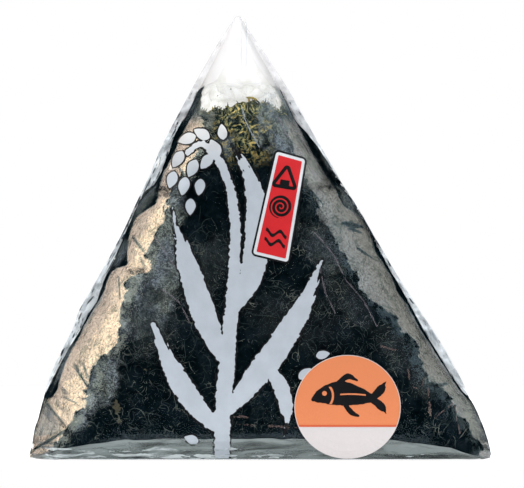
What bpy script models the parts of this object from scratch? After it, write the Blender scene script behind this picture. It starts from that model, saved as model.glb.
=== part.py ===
"""An onigiri in its clear film pack: a triangular rice ball with its seaweed sheet, wrapped in film
that is pulled out to a peak above the ball and to a pointed ear at each lower corner, and the round
flavour label stuck on its front.

The film is stretched tight, so its form is the convex hull of the ball and of the three film tips.
The ball itself is the hull of three round pucks, one in each corner of the triangle.

Metres, +Z up. The front looks along -Y, and the pack stands on Z = 0 with its ears along X.
"""

import math

import bmesh
import bpy
from mathutils import Vector
from mathutils.bvhtree import BVHTree

# The pack, over the film.
PACK_WIDTH = 0.1000
PACK_HEIGHT = 0.0953
PACK_DEPTH = 0.0330
LEAN = -0.0040  # sideways shift of the peak against the base

# The ball in its seaweed: the discs in its corners, seen from the front.
BASE_CORNER_RADIUS = 0.0105
BASE_CORNER_X = 0.0364
TOP_CORNER_RADIUS = 0.0134
TOP_CORNER_Z = 0.0699
EDGE_INSET = 0.0080  # the rounded edge's width, seen from the front
BASE_EDGE_INSET = 0.0050  # the same along the base
EDGE_DEPTH = 0.0090  # how much of the half depth the rounded edge takes
FOOT_HALF_WIDTH = 0.0370
FOOT_HALF_DEPTH = 0.0110

# The film's tips.
PEAK_HALF_WIDTH = 0.0013
PEAK_HALF_DEPTH = 0.0005
EAR_HALF_DEPTH = 0.0004
EAR_HEIGHT = 0.0012

# The film's relief over the hull.
CROWN = 0.0009  # how far the broad faces swell in their middle
FLAP_STEP = 0.0004  # the front flap's doubled film on each slanted side
FLAP_EDGE = 0.12  # where the flap ends behind the middle, as a share of the half depth
FLAP_FADE = 0.70  # where it has faded out in front of the middle
FLAP_TOP = 0.86  # the height at which it runs out, as a share of the pack's

# The round label, as seen from the front.
LABEL_HALF_WIDTH = 0.0113
LABEL_HALF_HEIGHT = 0.01105
LABEL_THICKNESS = 0.0003
LABEL_X = 0.0186
LABEL_Z = 0.0115
LABEL_GAP = 0.0003
LABEL_BEND = 0.35  # how far the stiff paper follows the pack where it falls back over the base

# Mesh fineness.
RING_POINTS = 72
RINGS = 44
PUCK_POINTS = 64
PUCK_STEPS = 10
LABEL_POINTS = 64
LABEL_RINGS = 7


def clear_scene():
    for obj in list(bpy.data.objects):
        bpy.data.objects.remove(obj)


def make_material(name, color, roughness, metallic=0.0):
    material = bpy.data.materials.new(name)
    material.use_nodes = True
    shader = material.node_tree.nodes["Principled BSDF"]
    shader.inputs["Base Color"].default_value = (*color, 1.0)
    shader.inputs["Roughness"].default_value = roughness
    shader.inputs["Metallic"].default_value = metallic
    return material


def add_object(name, mesh_data, material, smooth_angle=None):
    mesh = bpy.data.meshes.new(name)
    mesh_data.to_mesh(mesh)
    mesh_data.free()
    mesh.materials.append(material)
    if smooth_angle is not None:
        mesh.shade_smooth()
        mesh.set_sharp_from_angle(angle=smooth_angle)
    obj = bpy.data.objects.new(name, mesh)
    bpy.context.scene.collection.objects.link(obj)
    return obj


def smoothstep(low, high, value):
    share = min(max((value - low) / (high - low), 0.0), 1.0)
    return share * share * (3.0 - 2.0 * share)


def middle_x(z):
    """The middle of the pack's width at a height: it leans evenly towards the peak."""
    return LEAN * z / PACK_HEIGHT


def puck_points(x, z, radius, lowered=0.0):
    """Points on a round puck that lies in the XZ plane, as deep as the pack and rounded at its edges.

    lowered is how far the puck's two flat faces sit below its widest ring.
    """
    found = []
    straight = PACK_DEPTH / 2 - EDGE_DEPTH
    for step in range(PUCK_STEPS + 1):
        slope = math.pi / 2 * step / PUCK_STEPS
        rounding = 1.0 - math.cos(slope)
        y = straight + EDGE_DEPTH * math.sin(slope)
        ring_radius = radius - EDGE_INSET * rounding
        for k in range(PUCK_POINTS):
            angle = math.tau * k / PUCK_POINTS
            px = x + ring_radius * math.cos(angle)
            pz = z - lowered * rounding + ring_radius * math.sin(angle)
            found += [(px, y, pz), (px, -y, pz)]
    return found


def ball_points():
    """Points on the wrapped ball: a puck in each corner, and the flat foot that it stands on."""
    found = puck_points(middle_x(TOP_CORNER_Z), TOP_CORNER_Z, TOP_CORNER_RADIUS)
    for side in (-1, 1):
        x = side * BASE_CORNER_X + middle_x(BASE_CORNER_RADIUS)
        lowered = EDGE_INSET - BASE_EDGE_INSET
        found += puck_points(x, BASE_CORNER_RADIUS, BASE_CORNER_RADIUS, lowered)
        found += [(side * FOOT_HALF_WIDTH, face * FOOT_HALF_DEPTH, 0.0) for face in (-1, 1)]
    return found


def film_tip_points():
    """The peak's top edge and the tip of each ear."""
    found = []
    for side in (-1, 1):
        for face in (-1, 1):
            peak_x = LEAN + side * PEAK_HALF_WIDTH
            found.append((peak_x, face * PEAK_HALF_DEPTH, PACK_HEIGHT))
            for z in (0.0, EAR_HEIGHT):
                found.append((side * PACK_WIDTH / 2, face * EAR_HALF_DEPTH, z))
    return found


def stretched_film():
    """The convex hull of the ball and the film's tips, as a tree to cast rays at."""
    hull = bmesh.new()
    for point in ball_points() + film_tip_points():
        hull.verts.new(point)
    made = bmesh.ops.convex_hull(hull, input=hull.verts)
    inside = {v for v in made["geom_interior"] if isinstance(v, bmesh.types.BMVert)}
    bmesh.ops.delete(hull, geom=list(inside), context="VERTS")
    tree = BVHTree.FromBMesh(hull)
    hull.free()
    return tree


def flap_height(share_of_depth, share_of_height):
    """How far the doubled film of the front flap stands out on a slanted side.

    share_of_depth runs from -1 at the front face to 1 at the back face.
    """
    if share_of_depth > FLAP_EDGE:
        return 0.0
    fade_in = smoothstep(-FLAP_FADE, -FLAP_FADE / 2, share_of_depth)
    return FLAP_STEP * fade_in * smoothstep(0.04, 0.12, share_of_height) * (
        1.0 - smoothstep(FLAP_TOP - 0.1, FLAP_TOP, share_of_height)
    )


def ring_point(tree, z, turn):
    """The film's point at a height, in the direction that a turn round the pack's middle gives."""
    share = z / PACK_HEIGHT
    half_width = PACK_WIDTH / 2 * (1.0 - share) + PEAK_HALF_WIDTH * share
    half_depth = PACK_DEPTH / 2 * (1.0 - share**3) + PEAK_HALF_DEPTH * share**3
    heading = Vector((half_width * math.cos(turn), half_depth * math.sin(turn), 0.0))
    cast_z = min(max(z, 1e-6), PACK_HEIGHT - 1e-6)
    centre = Vector((middle_x(z), 0.0, cast_z))
    hit, _, _, _ = tree.ray_cast(centre, heading.normalized())
    across = (hit.x - centre.x) / half_width
    swell = CROWN * max(0.0, 1.0 - across * across) * math.sin(math.pi * share) ** 0.7
    outward = math.copysign(flap_height(hit.y / half_depth, share), across)
    on_side = smoothstep(0.75, 0.95, abs(across))
    return Vector(
        (
            hit.x + outward * on_side,
            hit.y + math.copysign(swell, hit.y) * smoothstep(0.0, 0.4, abs(math.sin(turn))),
            z,
        )
    )


def make_pack(material):
    """The film pack with all that it holds, as one solid."""
    tree = stretched_film()
    body = bmesh.new()
    rings = []
    for level in range(RINGS + 1):
        z = PACK_HEIGHT * (0.5 - 0.5 * math.cos(math.pi * level / RINGS))
        turns = (math.tau * k / RING_POINTS for k in range(RING_POINTS))
        rings.append([body.verts.new(ring_point(tree, z, turn)) for turn in turns])
    for lower, upper in zip(rings, rings[1:]):
        for k in range(RING_POINTS):
            after = (k + 1) % RING_POINTS
            body.faces.new((lower[k], lower[after], upper[after], upper[k]))
    body.faces.new(list(reversed(rings[0])))
    body.faces.new(rings[-1])
    bmesh.ops.recalc_face_normals(body, faces=body.faces)
    return add_object("film_pack", body, material, smooth_angle=math.radians(35))


def label_surface(pack):
    """Rings of points, from the label's middle out to its rim, on the side that faces the pack."""
    tree = BVHTree.FromObject(pack, bpy.context.evaluated_depsgraph_get())
    forward = Vector((0.0, -1.0, 0.0))
    spots = []
    for ring in range(LABEL_RINGS + 1):
        share = ring / LABEL_RINGS
        for k in range(LABEL_POINTS if ring else 1):
            angle = math.tau * k / LABEL_POINTS
            x = LABEL_X + LABEL_HALF_WIDTH * share * math.cos(angle)
            z = LABEL_Z + LABEL_HALF_HEIGHT * share * math.sin(angle)
            hit, _, _, _ = tree.ray_cast(Vector((x, 0.0, z)), forward)
            spots.append((x, hit.y, z))
    front = min(y for _, y, _ in spots)
    return [(x, front + LABEL_BEND * (y - front) - LABEL_GAP, z) for x, y, z in spots]


def add_label_side(mesh_data, surface, shift):
    """One side of the label as a fan round its middle; returns the vertices along its rim."""
    verts = [mesh_data.verts.new((x, y + shift, z)) for x, y, z in surface]
    rings = [verts[1 + n * LABEL_POINTS : 1 + (n + 1) * LABEL_POINTS] for n in range(LABEL_RINGS)]
    for k in range(LABEL_POINTS):
        after = (k + 1) % LABEL_POINTS
        mesh_data.faces.new((verts[0], rings[0][k], rings[0][after]))
        for inner, outer in zip(rings, rings[1:]):
            mesh_data.faces.new((inner[k], outer[k], outer[after], inner[after]))
    return rings[-1]


def make_label(pack, material):
    """The round paper label on the front of the film."""
    surface = label_surface(pack)
    label = bmesh.new()
    back_rim = add_label_side(label, surface, 0.0)
    front_rim = add_label_side(label, surface, -LABEL_THICKNESS)
    for k in range(LABEL_POINTS):
        after = (k + 1) % LABEL_POINTS
        label.faces.new((back_rim[k], back_rim[after], front_rim[after], front_rim[k]))
    bmesh.ops.recalc_face_normals(label, faces=label.faces)
    return add_object("flavour_label", label, material, smooth_angle=math.radians(35))


def main():
    clear_scene()
    wrapped = make_material("wrapped_seaweed", (0.018, 0.024, 0.020), roughness=0.25)
    printed_paper = make_material("label_paper", (0.92, 0.42, 0.16), roughness=0.4)
    pack = make_pack(wrapped)
    bpy.context.view_layer.update()
    make_label(pack, printed_paper)


main()
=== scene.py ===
"""Looks of an onigiri in its clear film pack: rice, seaweed, crinkled film, print and round label.

Shapes are worked out in millimetres in the part's frame (front along -Y, base on Z = 0) and turned
into metres when a mesh is made. A field is a function of (x, z), as seen from the front, that is
above 0 inside what it draws.
"""

import math

import bmesh
import bpy
import numpy as np
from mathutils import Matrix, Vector
from mathutils.bvhtree import BVHTree


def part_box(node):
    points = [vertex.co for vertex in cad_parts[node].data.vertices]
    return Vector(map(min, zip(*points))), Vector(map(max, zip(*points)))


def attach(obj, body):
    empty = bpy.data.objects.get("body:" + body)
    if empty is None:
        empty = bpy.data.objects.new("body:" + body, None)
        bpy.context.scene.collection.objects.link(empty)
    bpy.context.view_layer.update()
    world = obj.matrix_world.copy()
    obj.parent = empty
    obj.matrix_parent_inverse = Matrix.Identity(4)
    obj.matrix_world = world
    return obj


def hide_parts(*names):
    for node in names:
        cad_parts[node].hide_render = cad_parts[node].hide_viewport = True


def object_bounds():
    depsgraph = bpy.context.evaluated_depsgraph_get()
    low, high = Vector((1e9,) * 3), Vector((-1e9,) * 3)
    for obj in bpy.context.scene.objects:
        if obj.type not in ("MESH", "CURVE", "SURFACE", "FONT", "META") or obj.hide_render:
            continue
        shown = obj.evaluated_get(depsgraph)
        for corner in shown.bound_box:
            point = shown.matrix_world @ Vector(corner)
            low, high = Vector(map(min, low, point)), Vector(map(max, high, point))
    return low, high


MM = 0.001
FRONT, BACK = -1, 1
FAR = 60.0  # outside the pack in any direction
OUTSIDE = -1e9  # what a field starts from before anything is drawn in it

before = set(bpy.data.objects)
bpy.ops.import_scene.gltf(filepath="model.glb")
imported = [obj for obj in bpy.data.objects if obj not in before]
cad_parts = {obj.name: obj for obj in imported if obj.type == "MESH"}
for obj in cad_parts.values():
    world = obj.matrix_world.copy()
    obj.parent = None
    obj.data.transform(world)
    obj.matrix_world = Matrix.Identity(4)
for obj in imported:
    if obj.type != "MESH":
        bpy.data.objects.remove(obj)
cad_low, cad_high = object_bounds()
HEIGHT = (cad_high[2] - cad_low[2]) / MM


# ---------------------------------------------------------------- helpers


def hermite(at, value, slope):
    """A smooth function through values at rising places, with the given slopes there."""

    def read(x):
        x = np.clip(np.asarray(x, float), at[0], at[-1])
        i = np.clip(np.searchsorted(at, x) - 1, 0, len(at) - 2)
        h = at[i + 1] - at[i]
        t = (x - at[i]) / h
        return (
            value[i] * (2 * t**3 - 3 * t**2 + 1)
            + h * slope[i] * (t**3 - 2 * t**2 + t)
            + value[i + 1] * (3 * t**2 - 2 * t**3)
            + h * slope[i + 1] * (t**3 - t**2)
        )

    return read


def smooth_curve(*knots):
    """A function through (position, value) knots that doesn't overshoot between them."""
    at, value = np.array(knots, float).T
    rise = np.diff(value) / np.diff(at)
    slope = np.zeros(len(at))
    slope[0], slope[-1] = rise[0], rise[-1]
    for i in range(1, len(at) - 1):
        if rise[i - 1] * rise[i] > 0:
            slope[i] = 2.0 / (1.0 / rise[i - 1] + 1.0 / rise[i])
    return hermite(at, value, slope)


def step_between(low, high, value):
    """0 at low and 1 at high, easing in and out; low may be the larger one."""
    t = np.clip((np.asarray(value, float) - low) / (high - low), 0.0, 1.0)
    return t * t * (3.0 - 2.0 * t)


class Noise:
    """Smooth random values between -1 and 1 over space, the same on every run."""

    SIZE = 32

    def __init__(self, seed):
        self.table = np.random.default_rng(seed).uniform(-1.0, 1.0, (self.SIZE,) * 3)

    def __call__(self, x, y, z):
        cell, part = [], []
        for c in np.broadcast_arrays(x, y, z):
            whole = np.floor(c)
            cell.append(whole.astype(int))
            t = c - whole
            part.append(t * t * t * (t * (6 * t - 15) + 10))
        total = 0.0
        for dx in (0, 1):
            for dy in (0, 1):
                for dz in (0, 1):
                    weight = 1.0
                    for t, far in zip(part, (dx, dy, dz)):
                        weight = weight * (t if far else 1.0 - t)
                    at = [(c + far) % self.SIZE for c, far in zip(cell, (dx, dy, dz))]
                    total = total + weight * self.table[at[0], at[1], at[2]]
        return total

    def layered(self, x, y, z, octaves=3, gain=0.5):
        total, size, scale = 0.0, 1.0, 1.0
        for _ in range(octaves):
            total = total + size * self(x * scale, y * scale, z * scale)
            size *= gain
            scale *= 2.03
        return total


def unit(vectors):
    """The vectors scaled to length 1."""
    return vectors / np.maximum(np.linalg.norm(vectors, axis=-1, keepdims=True), 1e-9)


def add_to_scene(name, data):
    obj = bpy.data.objects.new(name, data)
    bpy.context.scene.collection.objects.link(obj)
    return obj


def add_piece(name, points, faces, material):
    """A mesh from points in millimetres, riding on the part's one body."""
    mesh = bpy.data.meshes.new(name)
    mesh.from_pydata((np.asarray(points, float) * MM).tolist(), [], [tuple(f) for f in faces])
    mesh.validate()
    mesh.shade_smooth()
    mesh.materials.append(material)
    obj = add_to_scene(name, mesh)
    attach(obj, "root")
    return obj


class Joined:
    """Many small shapes collected into one mesh."""

    def __init__(self):
        self.parts, self.faces, self.count = [], [], 0

    def add(self, points, faces):
        self.faces += [tuple(self.count + i for i in face) for face in faces]
        self.parts.append(points)
        self.count += len(points)

    def points(self):
        return np.concatenate(self.parts)


def surface_tree(obj):
    return BVHTree.FromObject(obj, bpy.context.evaluated_depsgraph_get())


def seen_from(side, tree, x, z):
    """The surface's y at a place seen from the front or back, and its normal; None where it is missed."""
    hit, normal, _, _ = tree.ray_cast(Vector((x, side * FAR, z)) * MM, Vector((0, -side, 0)))
    return (None, None) if hit is None else (hit.y / MM, normal)


def grid_faces(rows, columns, first=0, flip=False):
    i, j = np.meshgrid(np.arange(rows - 1), np.arange(columns - 1), indexing="ij")
    a = first + i * columns + j
    quads = np.stack([a, a + 1, a + columns + 1, a + columns], axis=-1).reshape(-1, 4)
    return quads[:, ::-1] if flip else quads


def ring_faces(rows, columns):
    """Quads between rings of points that each close on themselves."""
    i, j = np.meshgrid(np.arange(rows - 1), np.arange(columns), indexing="ij")
    a = i * columns + j
    b = i * columns + (j + 1) % columns
    return np.stack([a, b, b + columns, a + columns], axis=-1).reshape(-1, 4)


def caps(rows, columns):
    """The two end faces of a tube of rings."""
    return [range(columns)[::-1], range((rows - 1) * columns, rows * columns)]


def grid_normals(points):
    return unit(np.cross(np.gradient(points, axis=1), np.gradient(points, axis=0)))


def segment_distance(x, z, x1, z1, x2, z2):
    """How far points are from a straight line's piece, and where along it they are (0 to 1)."""
    dx, dz = x2 - x1, z2 - z1
    t = np.clip(((x - x1) * dx + (z - z1) * dz) / (dx * dx + dz * dz), 0.0, 1.0)
    return np.hypot(x - x1 - t * dx, z - z1 - t * dz), t


# ---------------------------------------------------------------- the film's form

left_edge = smooth_curve(
    (0, -50), (2.6, -49.3), (6, -48.7), (9.5, -47.6), (14.7, -46.3), (18.1, -45.1), (23.3, -42.7),
    (28.4, -40.2), (31.9, -39.0), (35.3, -37.0), (42.2, -33.1), (49.1, -29.4), (54.3, -27.0),
    (61.2, -23.7), (66.4, -21.6), (71.6, -19.0), (76.7, -16.2), (81.9, -13.4), (88.8, -9.4),
    (92.7, -6.9), (95.3, -5.2),
)
right_edge = smooth_curve(
    (0, 50), (2.6, 49.5), (7.8, 47.8), (12.9, 45.4), (18.1, 42.8), (25, 38.9), (31.9, 34.4),
    (38.8, 30.0), (45.7, 25.9), (52.6, 21.9), (59.5, 17.6), (66.4, 13.5), (73.3, 9.6),
    (80.2, 5.6), (87.1, 1.1), (92.2, -2.4), (95.3, -4.4),
)
# the flat part outside the ball on each slanted side: the seam, and seaweed pressed flat beside it
left_seam = smooth_curve(
    (0, 0.3), (9, 0.4), (12.5, 0.5), (14, 1.3), (18, 1.4), (22, 1.4), (26, 1.6), (30, 2.3), (33.5, 3.0),
    (36.5, 2.4), (39.5, 1.7), (43, 1.5), (46, 1.2), (50, 0.7), (55, 0.7), (57, 1.4), (59, 2.3),
    (62, 2.5), (66, 2.5), (70.7, 2.2), (75, 2.0), (80, 1.6), (85, 1.3), (90, 0.8), (95.3, 0.1),
)
right_seam = smooth_curve(
    (0, 0.3), (10, 0.3), (13, 0.6), (14.7, 1.4), (19, 2.0), (23.3, 2.3), (27.6, 2.2), (31.9, 1.8),
    (36, 1.3), (40, 1.1), (44.8, 1.1), (47, 0.5), (50, 0.4), (54.5, 0.4), (57, 0.6), (59, 1.6),
    (62, 2.4), (66, 2.4), (70, 2.3), (73, 2.4), (76, 2.1), (80, 1.8), (85, 1.3), (90, 0.8), (95.3, 0.1),
)
# the welded part of it, next to the outline
left_weld = smooth_curve(
    (12, 0.05), (13.6, 0.2), (15.7, 0.6), (17.9, 0.9), (20.6, 1.1), (23.3, 1.3), (28.7, 1.9), (31.4, 2.4),
    (33.2, 2.8), (36.2, 2.1), (39.7, 1.5), (42.2, 1.6), (44.8, 1.1), (47, 1.0), (49.1, 0.6), (52.2, 0.5),
    (55.2, 0.4), (57.3, 0.7), (59.1, 1.9), (62.1, 2.2), (66.4, 2.1), (70, 1.7), (75, 1.6), (80, 1.5),
)
right_weld = smooth_curve(
    (11, 0.05), (13, 0.4), (14.7, 1.1), (19, 1.8), (23.3, 2.0), (27.6, 1.9), (31.9, 1.5), (36, 1.0),
    (40, 0.9), (44.8, 0.8), (47, 0.3), (50, 0.25), (57, 0.25), (62, 0.4), (66, 0.6), (70, 1.3),
    (73, 1.9), (76, 1.7), (80, 1.6),
)
half_depth = smooth_curve(
    (0, 16.9), (6, 17.35), (12, 17.25), (40, 16.6), (60, 16.0), (70, 15.2), (76, 14.2), (80, 12.9),
    (82.5, 11.3), (86, 8.3), (90, 4.8), (93, 2.3), (95.3, 0.6),
)
left_bevel = smooth_curve(
    (0, 6), (4, 7.5), (8, 10), (12, 11.5), (18, 13), (23, 13.4), (28, 12), (34, 10.2), (38, 10), (42, 11),
    (48, 9.6), (54, 8.8), (60, 8.6), (70, 8.4), (77, 7.0), (82, 5.0), (88, 2.4), (95.3, 0.3),
)
right_bevel = smooth_curve(
    (0, 4), (5, 5.5), (10, 7), (17, 8.6), (21, 8.4), (27, 8.4), (31, 9.4), (36, 12), (46, 12.4),
    (51, 12.6), (58, 11), (66, 9.5), (70, 8.8), (76, 6.6), (80, 4.2), (84, 2.8), (90, 1.4), (95.3, 0.3),
)
bevel_power = smooth_curve(
    (0, 1.1), (6, 1.25), (12, 1.6), (18, 1.95), (25, 2), (72, 2), (80, 1.7), (86, 1.5), (95.3, 1.3)
)

base_crease = smooth_curve((0, 4.9), (27, 4.7), (33, 3.9), (40, 3.0), (44, 1.7), (48, 0.7), (50, 0.3))
BASE_HALF_DEPTH = 0.66  # the base's depth against the body's
SEAM_HALF_DEPTH = 0.16
CREASE_MIDDLE = -0.3  # the base crease's middle along X


def left_welded(z):
    """How wide the welded film is next to the left outline."""
    return np.minimum(left_weld(z), left_seam(z) - 0.05)


def right_welded(z):
    return np.minimum(right_weld(z), right_seam(z) - 0.05)


def shoulder(share, power):
    share = np.clip(share, 0.0, 1.0)
    return (1.0 - (1.0 - share) ** power) ** (1.0 / power)


def soft_limit(value, softness):
    """min(value, 1) with a rounded corner."""
    lower, upper = 1.0 - softness, 1.0 + softness
    blend = 1.0 - (upper - value) ** 2 / (4.0 * softness)
    return np.where(value < lower, value, np.where(value > upper, 1.0, blend))


def across_bevels(x, z):
    """How far in from the left and the right seam, against the bevels' widths."""
    left = (x - left_edge(z) - left_seam(z)) / left_bevel(z)
    right = (right_edge(z) - right_seam(z) - x) / right_bevel(z)
    return left, right


def film_depth(x, z):
    """How far the smooth film stands off the pack's middle plane, front or back."""
    left, right = across_bevels(x, z)
    across = shoulder(left, bevel_power(z)) * shoulder(right, bevel_power(z))
    rise = soft_limit(z / base_crease(np.abs(x - CREASE_MIDDLE)), 0.22)
    foot = BASE_HALF_DEPTH + (1.0 - BASE_HALF_DEPTH) * rise
    seam = SEAM_HALF_DEPTH * (1.0 - step_between(HEIGHT - 1.5, HEIGHT, z))
    return np.maximum(half_depth(z) * across * foot, seam)


# ---------------------------------------------------------------- the film's relief

crinkle = Noise(11)
swell = Noise(12)
fold = Noise(13)

# straight folds on the front: x and z of both ends, height, half width
FRONT_FOLDS = (
    # lower left corner, fanning out from the ear
    (-49.5, 0.5, -41.8, 6.7, 0.7, 2.6), (-46.5, 12.6, -41.8, 6.7, 0.45, 1.8),
    (-40.2, 20.0, -36.4, 14.8, -0.35, 1.5), (-44.0, 19.0, -40.0, 13.5, 0.25, 1.4),
    # lower right corner
    (49.5, 0.5, 41.8, 5.8, 0.7, 2.8), (41.8, 5.8, 36.4, 8.6, 0.5, 2.4),
    (36.4, 8.6, 41.2, 12.6, 0.5, 2.0), (36.4, 8.6, 36.2, 13.4, 0.4, 1.6),
    (33.0, 16.5, 36.2, 13.0, -0.35, 1.6), (30.5, 21.0, 34.5, 25.5, 0.3, 1.5),
    # across the top of the seaweed
    (-9.3, 69.2, -1.0, 71.2, 0.25, 2.0), (-3.4, 76.0, -0.4, 66.0, 0.3, 1.8),
    (4.5, 74.0, 9.5, 62.0, 0.35, 2.4), (-19.0, 63.5, -17.0, 59.5, -0.3, 1.2),
    # down the right face
    (12.0, 56.0, 17.0, 44.0, 0.22, 2.6), (18.0, 42.0, 27.0, 26.0, 0.25, 2.4),
    (22.0, 33.0, 31.0, 19.0, -0.2, 2.2),
)
# puffed spots on the front: middle, half width and half height, height
FRONT_BLISTERS = ((25.4, 43.0, 1.4, 3.0, 0.3), (38.6, 23.0, 1.3, 2.4, 0.25), (-36.8, 16.0, 1.0, 1.8, 0.2))


def scattered_folds(seed, count, towards):
    """Random straight folds on the left (towards is 1) or right (-1) bevel."""
    rng = np.random.default_rng(seed)
    found = []
    for _ in range(count):
        z = rng.uniform(4.0, 76.0)
        root = left_edge(z) + left_seam(z) if towards > 0 else right_edge(z) - right_seam(z)
        x = root + towards * rng.uniform(0.0, 7.0)
        turn = math.radians(rng.uniform(-80.0, 80.0))
        length = rng.uniform(3.0, 9.0)
        height = rng.uniform(0.05, 0.16) * rng.choice((1.0, 1.0, -1.0))
        end_x, end_z = x + towards * length * math.cos(turn), z + length * math.sin(turn)
        found.append((x, z, end_x, end_z, height, rng.uniform(0.7, 2.0)))
    return found


SMALL_FOLDS = {
    FRONT: scattered_folds(21, 46, 1) + scattered_folds(22, 34, -1),
    BACK: scattered_folds(23, 30, 1) + scattered_folds(24, 30, -1),
}


def blister(x, z, cx, cz, wide, tall, height):
    lean = 0.5 if cx < 0 else -0.55
    across = (x - cx - lean * (z - cz)) / wide
    share = np.clip(1.0 - across**2 - ((z - cz) / tall) ** 2, 0.0, 1.0)
    return height * share * share * (3.0 - 2.0 * share)


def tent(x, z, x1, z1, x2, z2, height, width):
    """A straight fold: its height falls off evenly on both sides and fades at both ends."""
    dx, dz = x2 - x1, z2 - z1
    length = math.hypot(dx, dz)
    along = ((x - x1) * dx + (z - z1) * dz) / length
    aside = np.abs((x - x1) * dz - (z - z1) * dx) / length
    ends = step_between(-0.15 * length, 0.15 * length, along) * step_between(
        -0.15 * length, 0.15 * length, length - along
    )
    return height * np.clip(1.0 - aside / width, 0.0, 1.0) * ends


def film_relief(x, z, side):
    """How far the film's crinkles and folds stand out along its normal."""
    nearest = np.minimum(*across_bevels(x, z))
    near_edge = 1.0 - step_between(0.45, 1.15, nearest)
    on_ball = step_between(0.0, 0.12, nearest)
    on_peak = step_between(80.0, 84.0, z)
    low = 1.0 - step_between(2.0, 7.0, z)
    layer = 40.0 * side
    broad = 0.30 * swell(x / 13.0, layer, z / 17.0) + 0.13 * swell(x / 5.0, layer + 7.0, z / 8.0)
    run = np.where(x < left_edge(z) * 0.5 + right_edge(z) * 0.5, 0.50, -0.58)
    along = z - run * x
    across = x + run * z
    pleats = crinkle.layered(across / 3.4, layer + 3.0, along / 6.5, 3, 0.5)
    sharp = 0.5 - np.abs(fold.layered(across / 4.2, layer + 11.0, along / 5.2, 2, 0.5))
    small = crinkle.layered(x / 1.3, layer + 19.0, z / 1.6, 2, 0.5)
    relief = broad * (1.0 - 0.7 * on_peak) * (1.0 - 0.5 * near_edge)
    relief = relief + near_edge * (1.0 - on_peak) * (0.12 * pleats + 0.13 * sharp)
    relief = relief + (0.012 + 0.022 * near_edge) * small
    for line in SMALL_FOLDS[side]:
        relief = relief + (1.0 - 0.6 * on_peak) * tent(x, z, *line)
    tucks = fold.layered(x / 7.0, layer + 23.0, z / 1.5, 3, 0.6)
    ridges = np.abs(fold(x / 11.0, layer + 29.0, z / 1.1))
    relief = relief + low * (0.34 * tucks - 0.30 * ridges + 0.10 * small)
    if side == FRONT:
        for line in FRONT_FOLDS:
            relief = relief + tent(x, z, *line)
        for spot in FRONT_BLISTERS:
            relief = relief + blister(x, z, *spot)
    return relief * on_ball


def seam_wave(x, z):
    """The seam's crimping, which moves its front and back sheets together."""
    left = x - left_edge(z)
    right = right_edge(z) - x
    inner = np.minimum(left / left_seam(z), right / right_seam(z))
    on_seam = (1.0 - step_between(0.6, 1.2, inner)) * step_between(0.0, 3.0, z)
    wave = crinkle.layered(x / 2.0, 71.0, z / 1.7, 3, 0.55)
    crimp = 0.5 - np.abs(fold(x / 1.4, 77.0, z / 3.5))
    return on_seam * (0.42 * wave + 0.3 * crimp)


# ---------------------------------------------------------------- the film's painted sheen and haze

# painted reflection: it mirrors in a band along each side and has almost no gloss beside that; the bands'
# outlines are painted in, while the light in them comes from the cards
left_band_outer = smooth_curve(
    (0, -50), (6, -48.6), (12.6, -46.6), (13.4, -44.4), (15.7, -43.1), (17.9, -42.6), (20.6, -41.8),
    (23.3, -40.4), (26, -38.8), (28.7, -37.6), (30.6, -36.6), (33.2, -35.1), (36.2, -33.4), (39.7, -32.1),
    (40.9, -30.6), (41.8, -28.2), (44.8, -28.4), (46.6, -28.2), (49.1, -27.7), (51.5, -26.7),
    (53.4, -24.1), (55, -22.0), (57.8, -21.6), (60.8, -20.9), (63.4, -19.6), (66.4, -18.1), (70, -16.4),
    (75, -13.6),
)
left_band_inner = smooth_curve(
    (0, -47), (3, -44.5), (6.5, -41.3), (9.3, -40.1), (11.4, -37.6), (13.6, -37.3), (15.7, -36.6),
    (17.9, -35.8), (20.0, -35.4), (22.2, -33.4), (25.0, -30.6), (28.7, -29.9), (31.4, -30.2), (34, -29.2),
    (36.2, -28.8), (38.8, -27.9), (39.7, -25.9), (40.3, -23.5), (42.2, -23.7), (44, -24.2), (45.7, -23.7),
    (47, -22.4), (49.1, -21.6), (52.2, -20.3), (54, -20.0), (57.8, -18.5), (62, -16.0), (68, -12.5),
    (72, -12.0), (75, -12.0),
)
right_band_inner = smooth_curve(
    (2.6, 47.4), (5.2, 45.7), (7.8, 44.8), (10.3, 42.0), (12.9, 40.9), (15.1, 39.2), (17.2, 36.0),
    (20.7, 34.5), (23.3, 34.1), (26.3, 32.8), (27.6, 30.2), (30.6, 29.3), (32.3, 26.3), (36.2, 21.6),
    (40.9, 19.8), (43.5, 18.1), (46.1, 16.4), (48.7, 14.7), (51.3, 12.9), (55.6, 11.9), (60.3, 9.5),
    (67, 7.0), (72, 5.2),
)
right_band_outer = smooth_curve(
    (2.6, 49.6), (6, 48.7), (10.3, 46.8), (12.9, 44.4), (14.7, 42.9), (19, 40.1), (23.3, 37.3),
    (27.6, 34.5), (31.9, 32.3), (36.2, 29.3), (40.1, 27.6), (42.7, 25.9), (44.8, 24.6), (48, 23.9),
    (51.3, 22.0), (52.6, 20.6), (54.6, 17.6), (58.2, 15.9), (61.2, 14.2), (64.4, 12.2), (67.2, 10.6),
    (72, 8.0),
)
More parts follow.
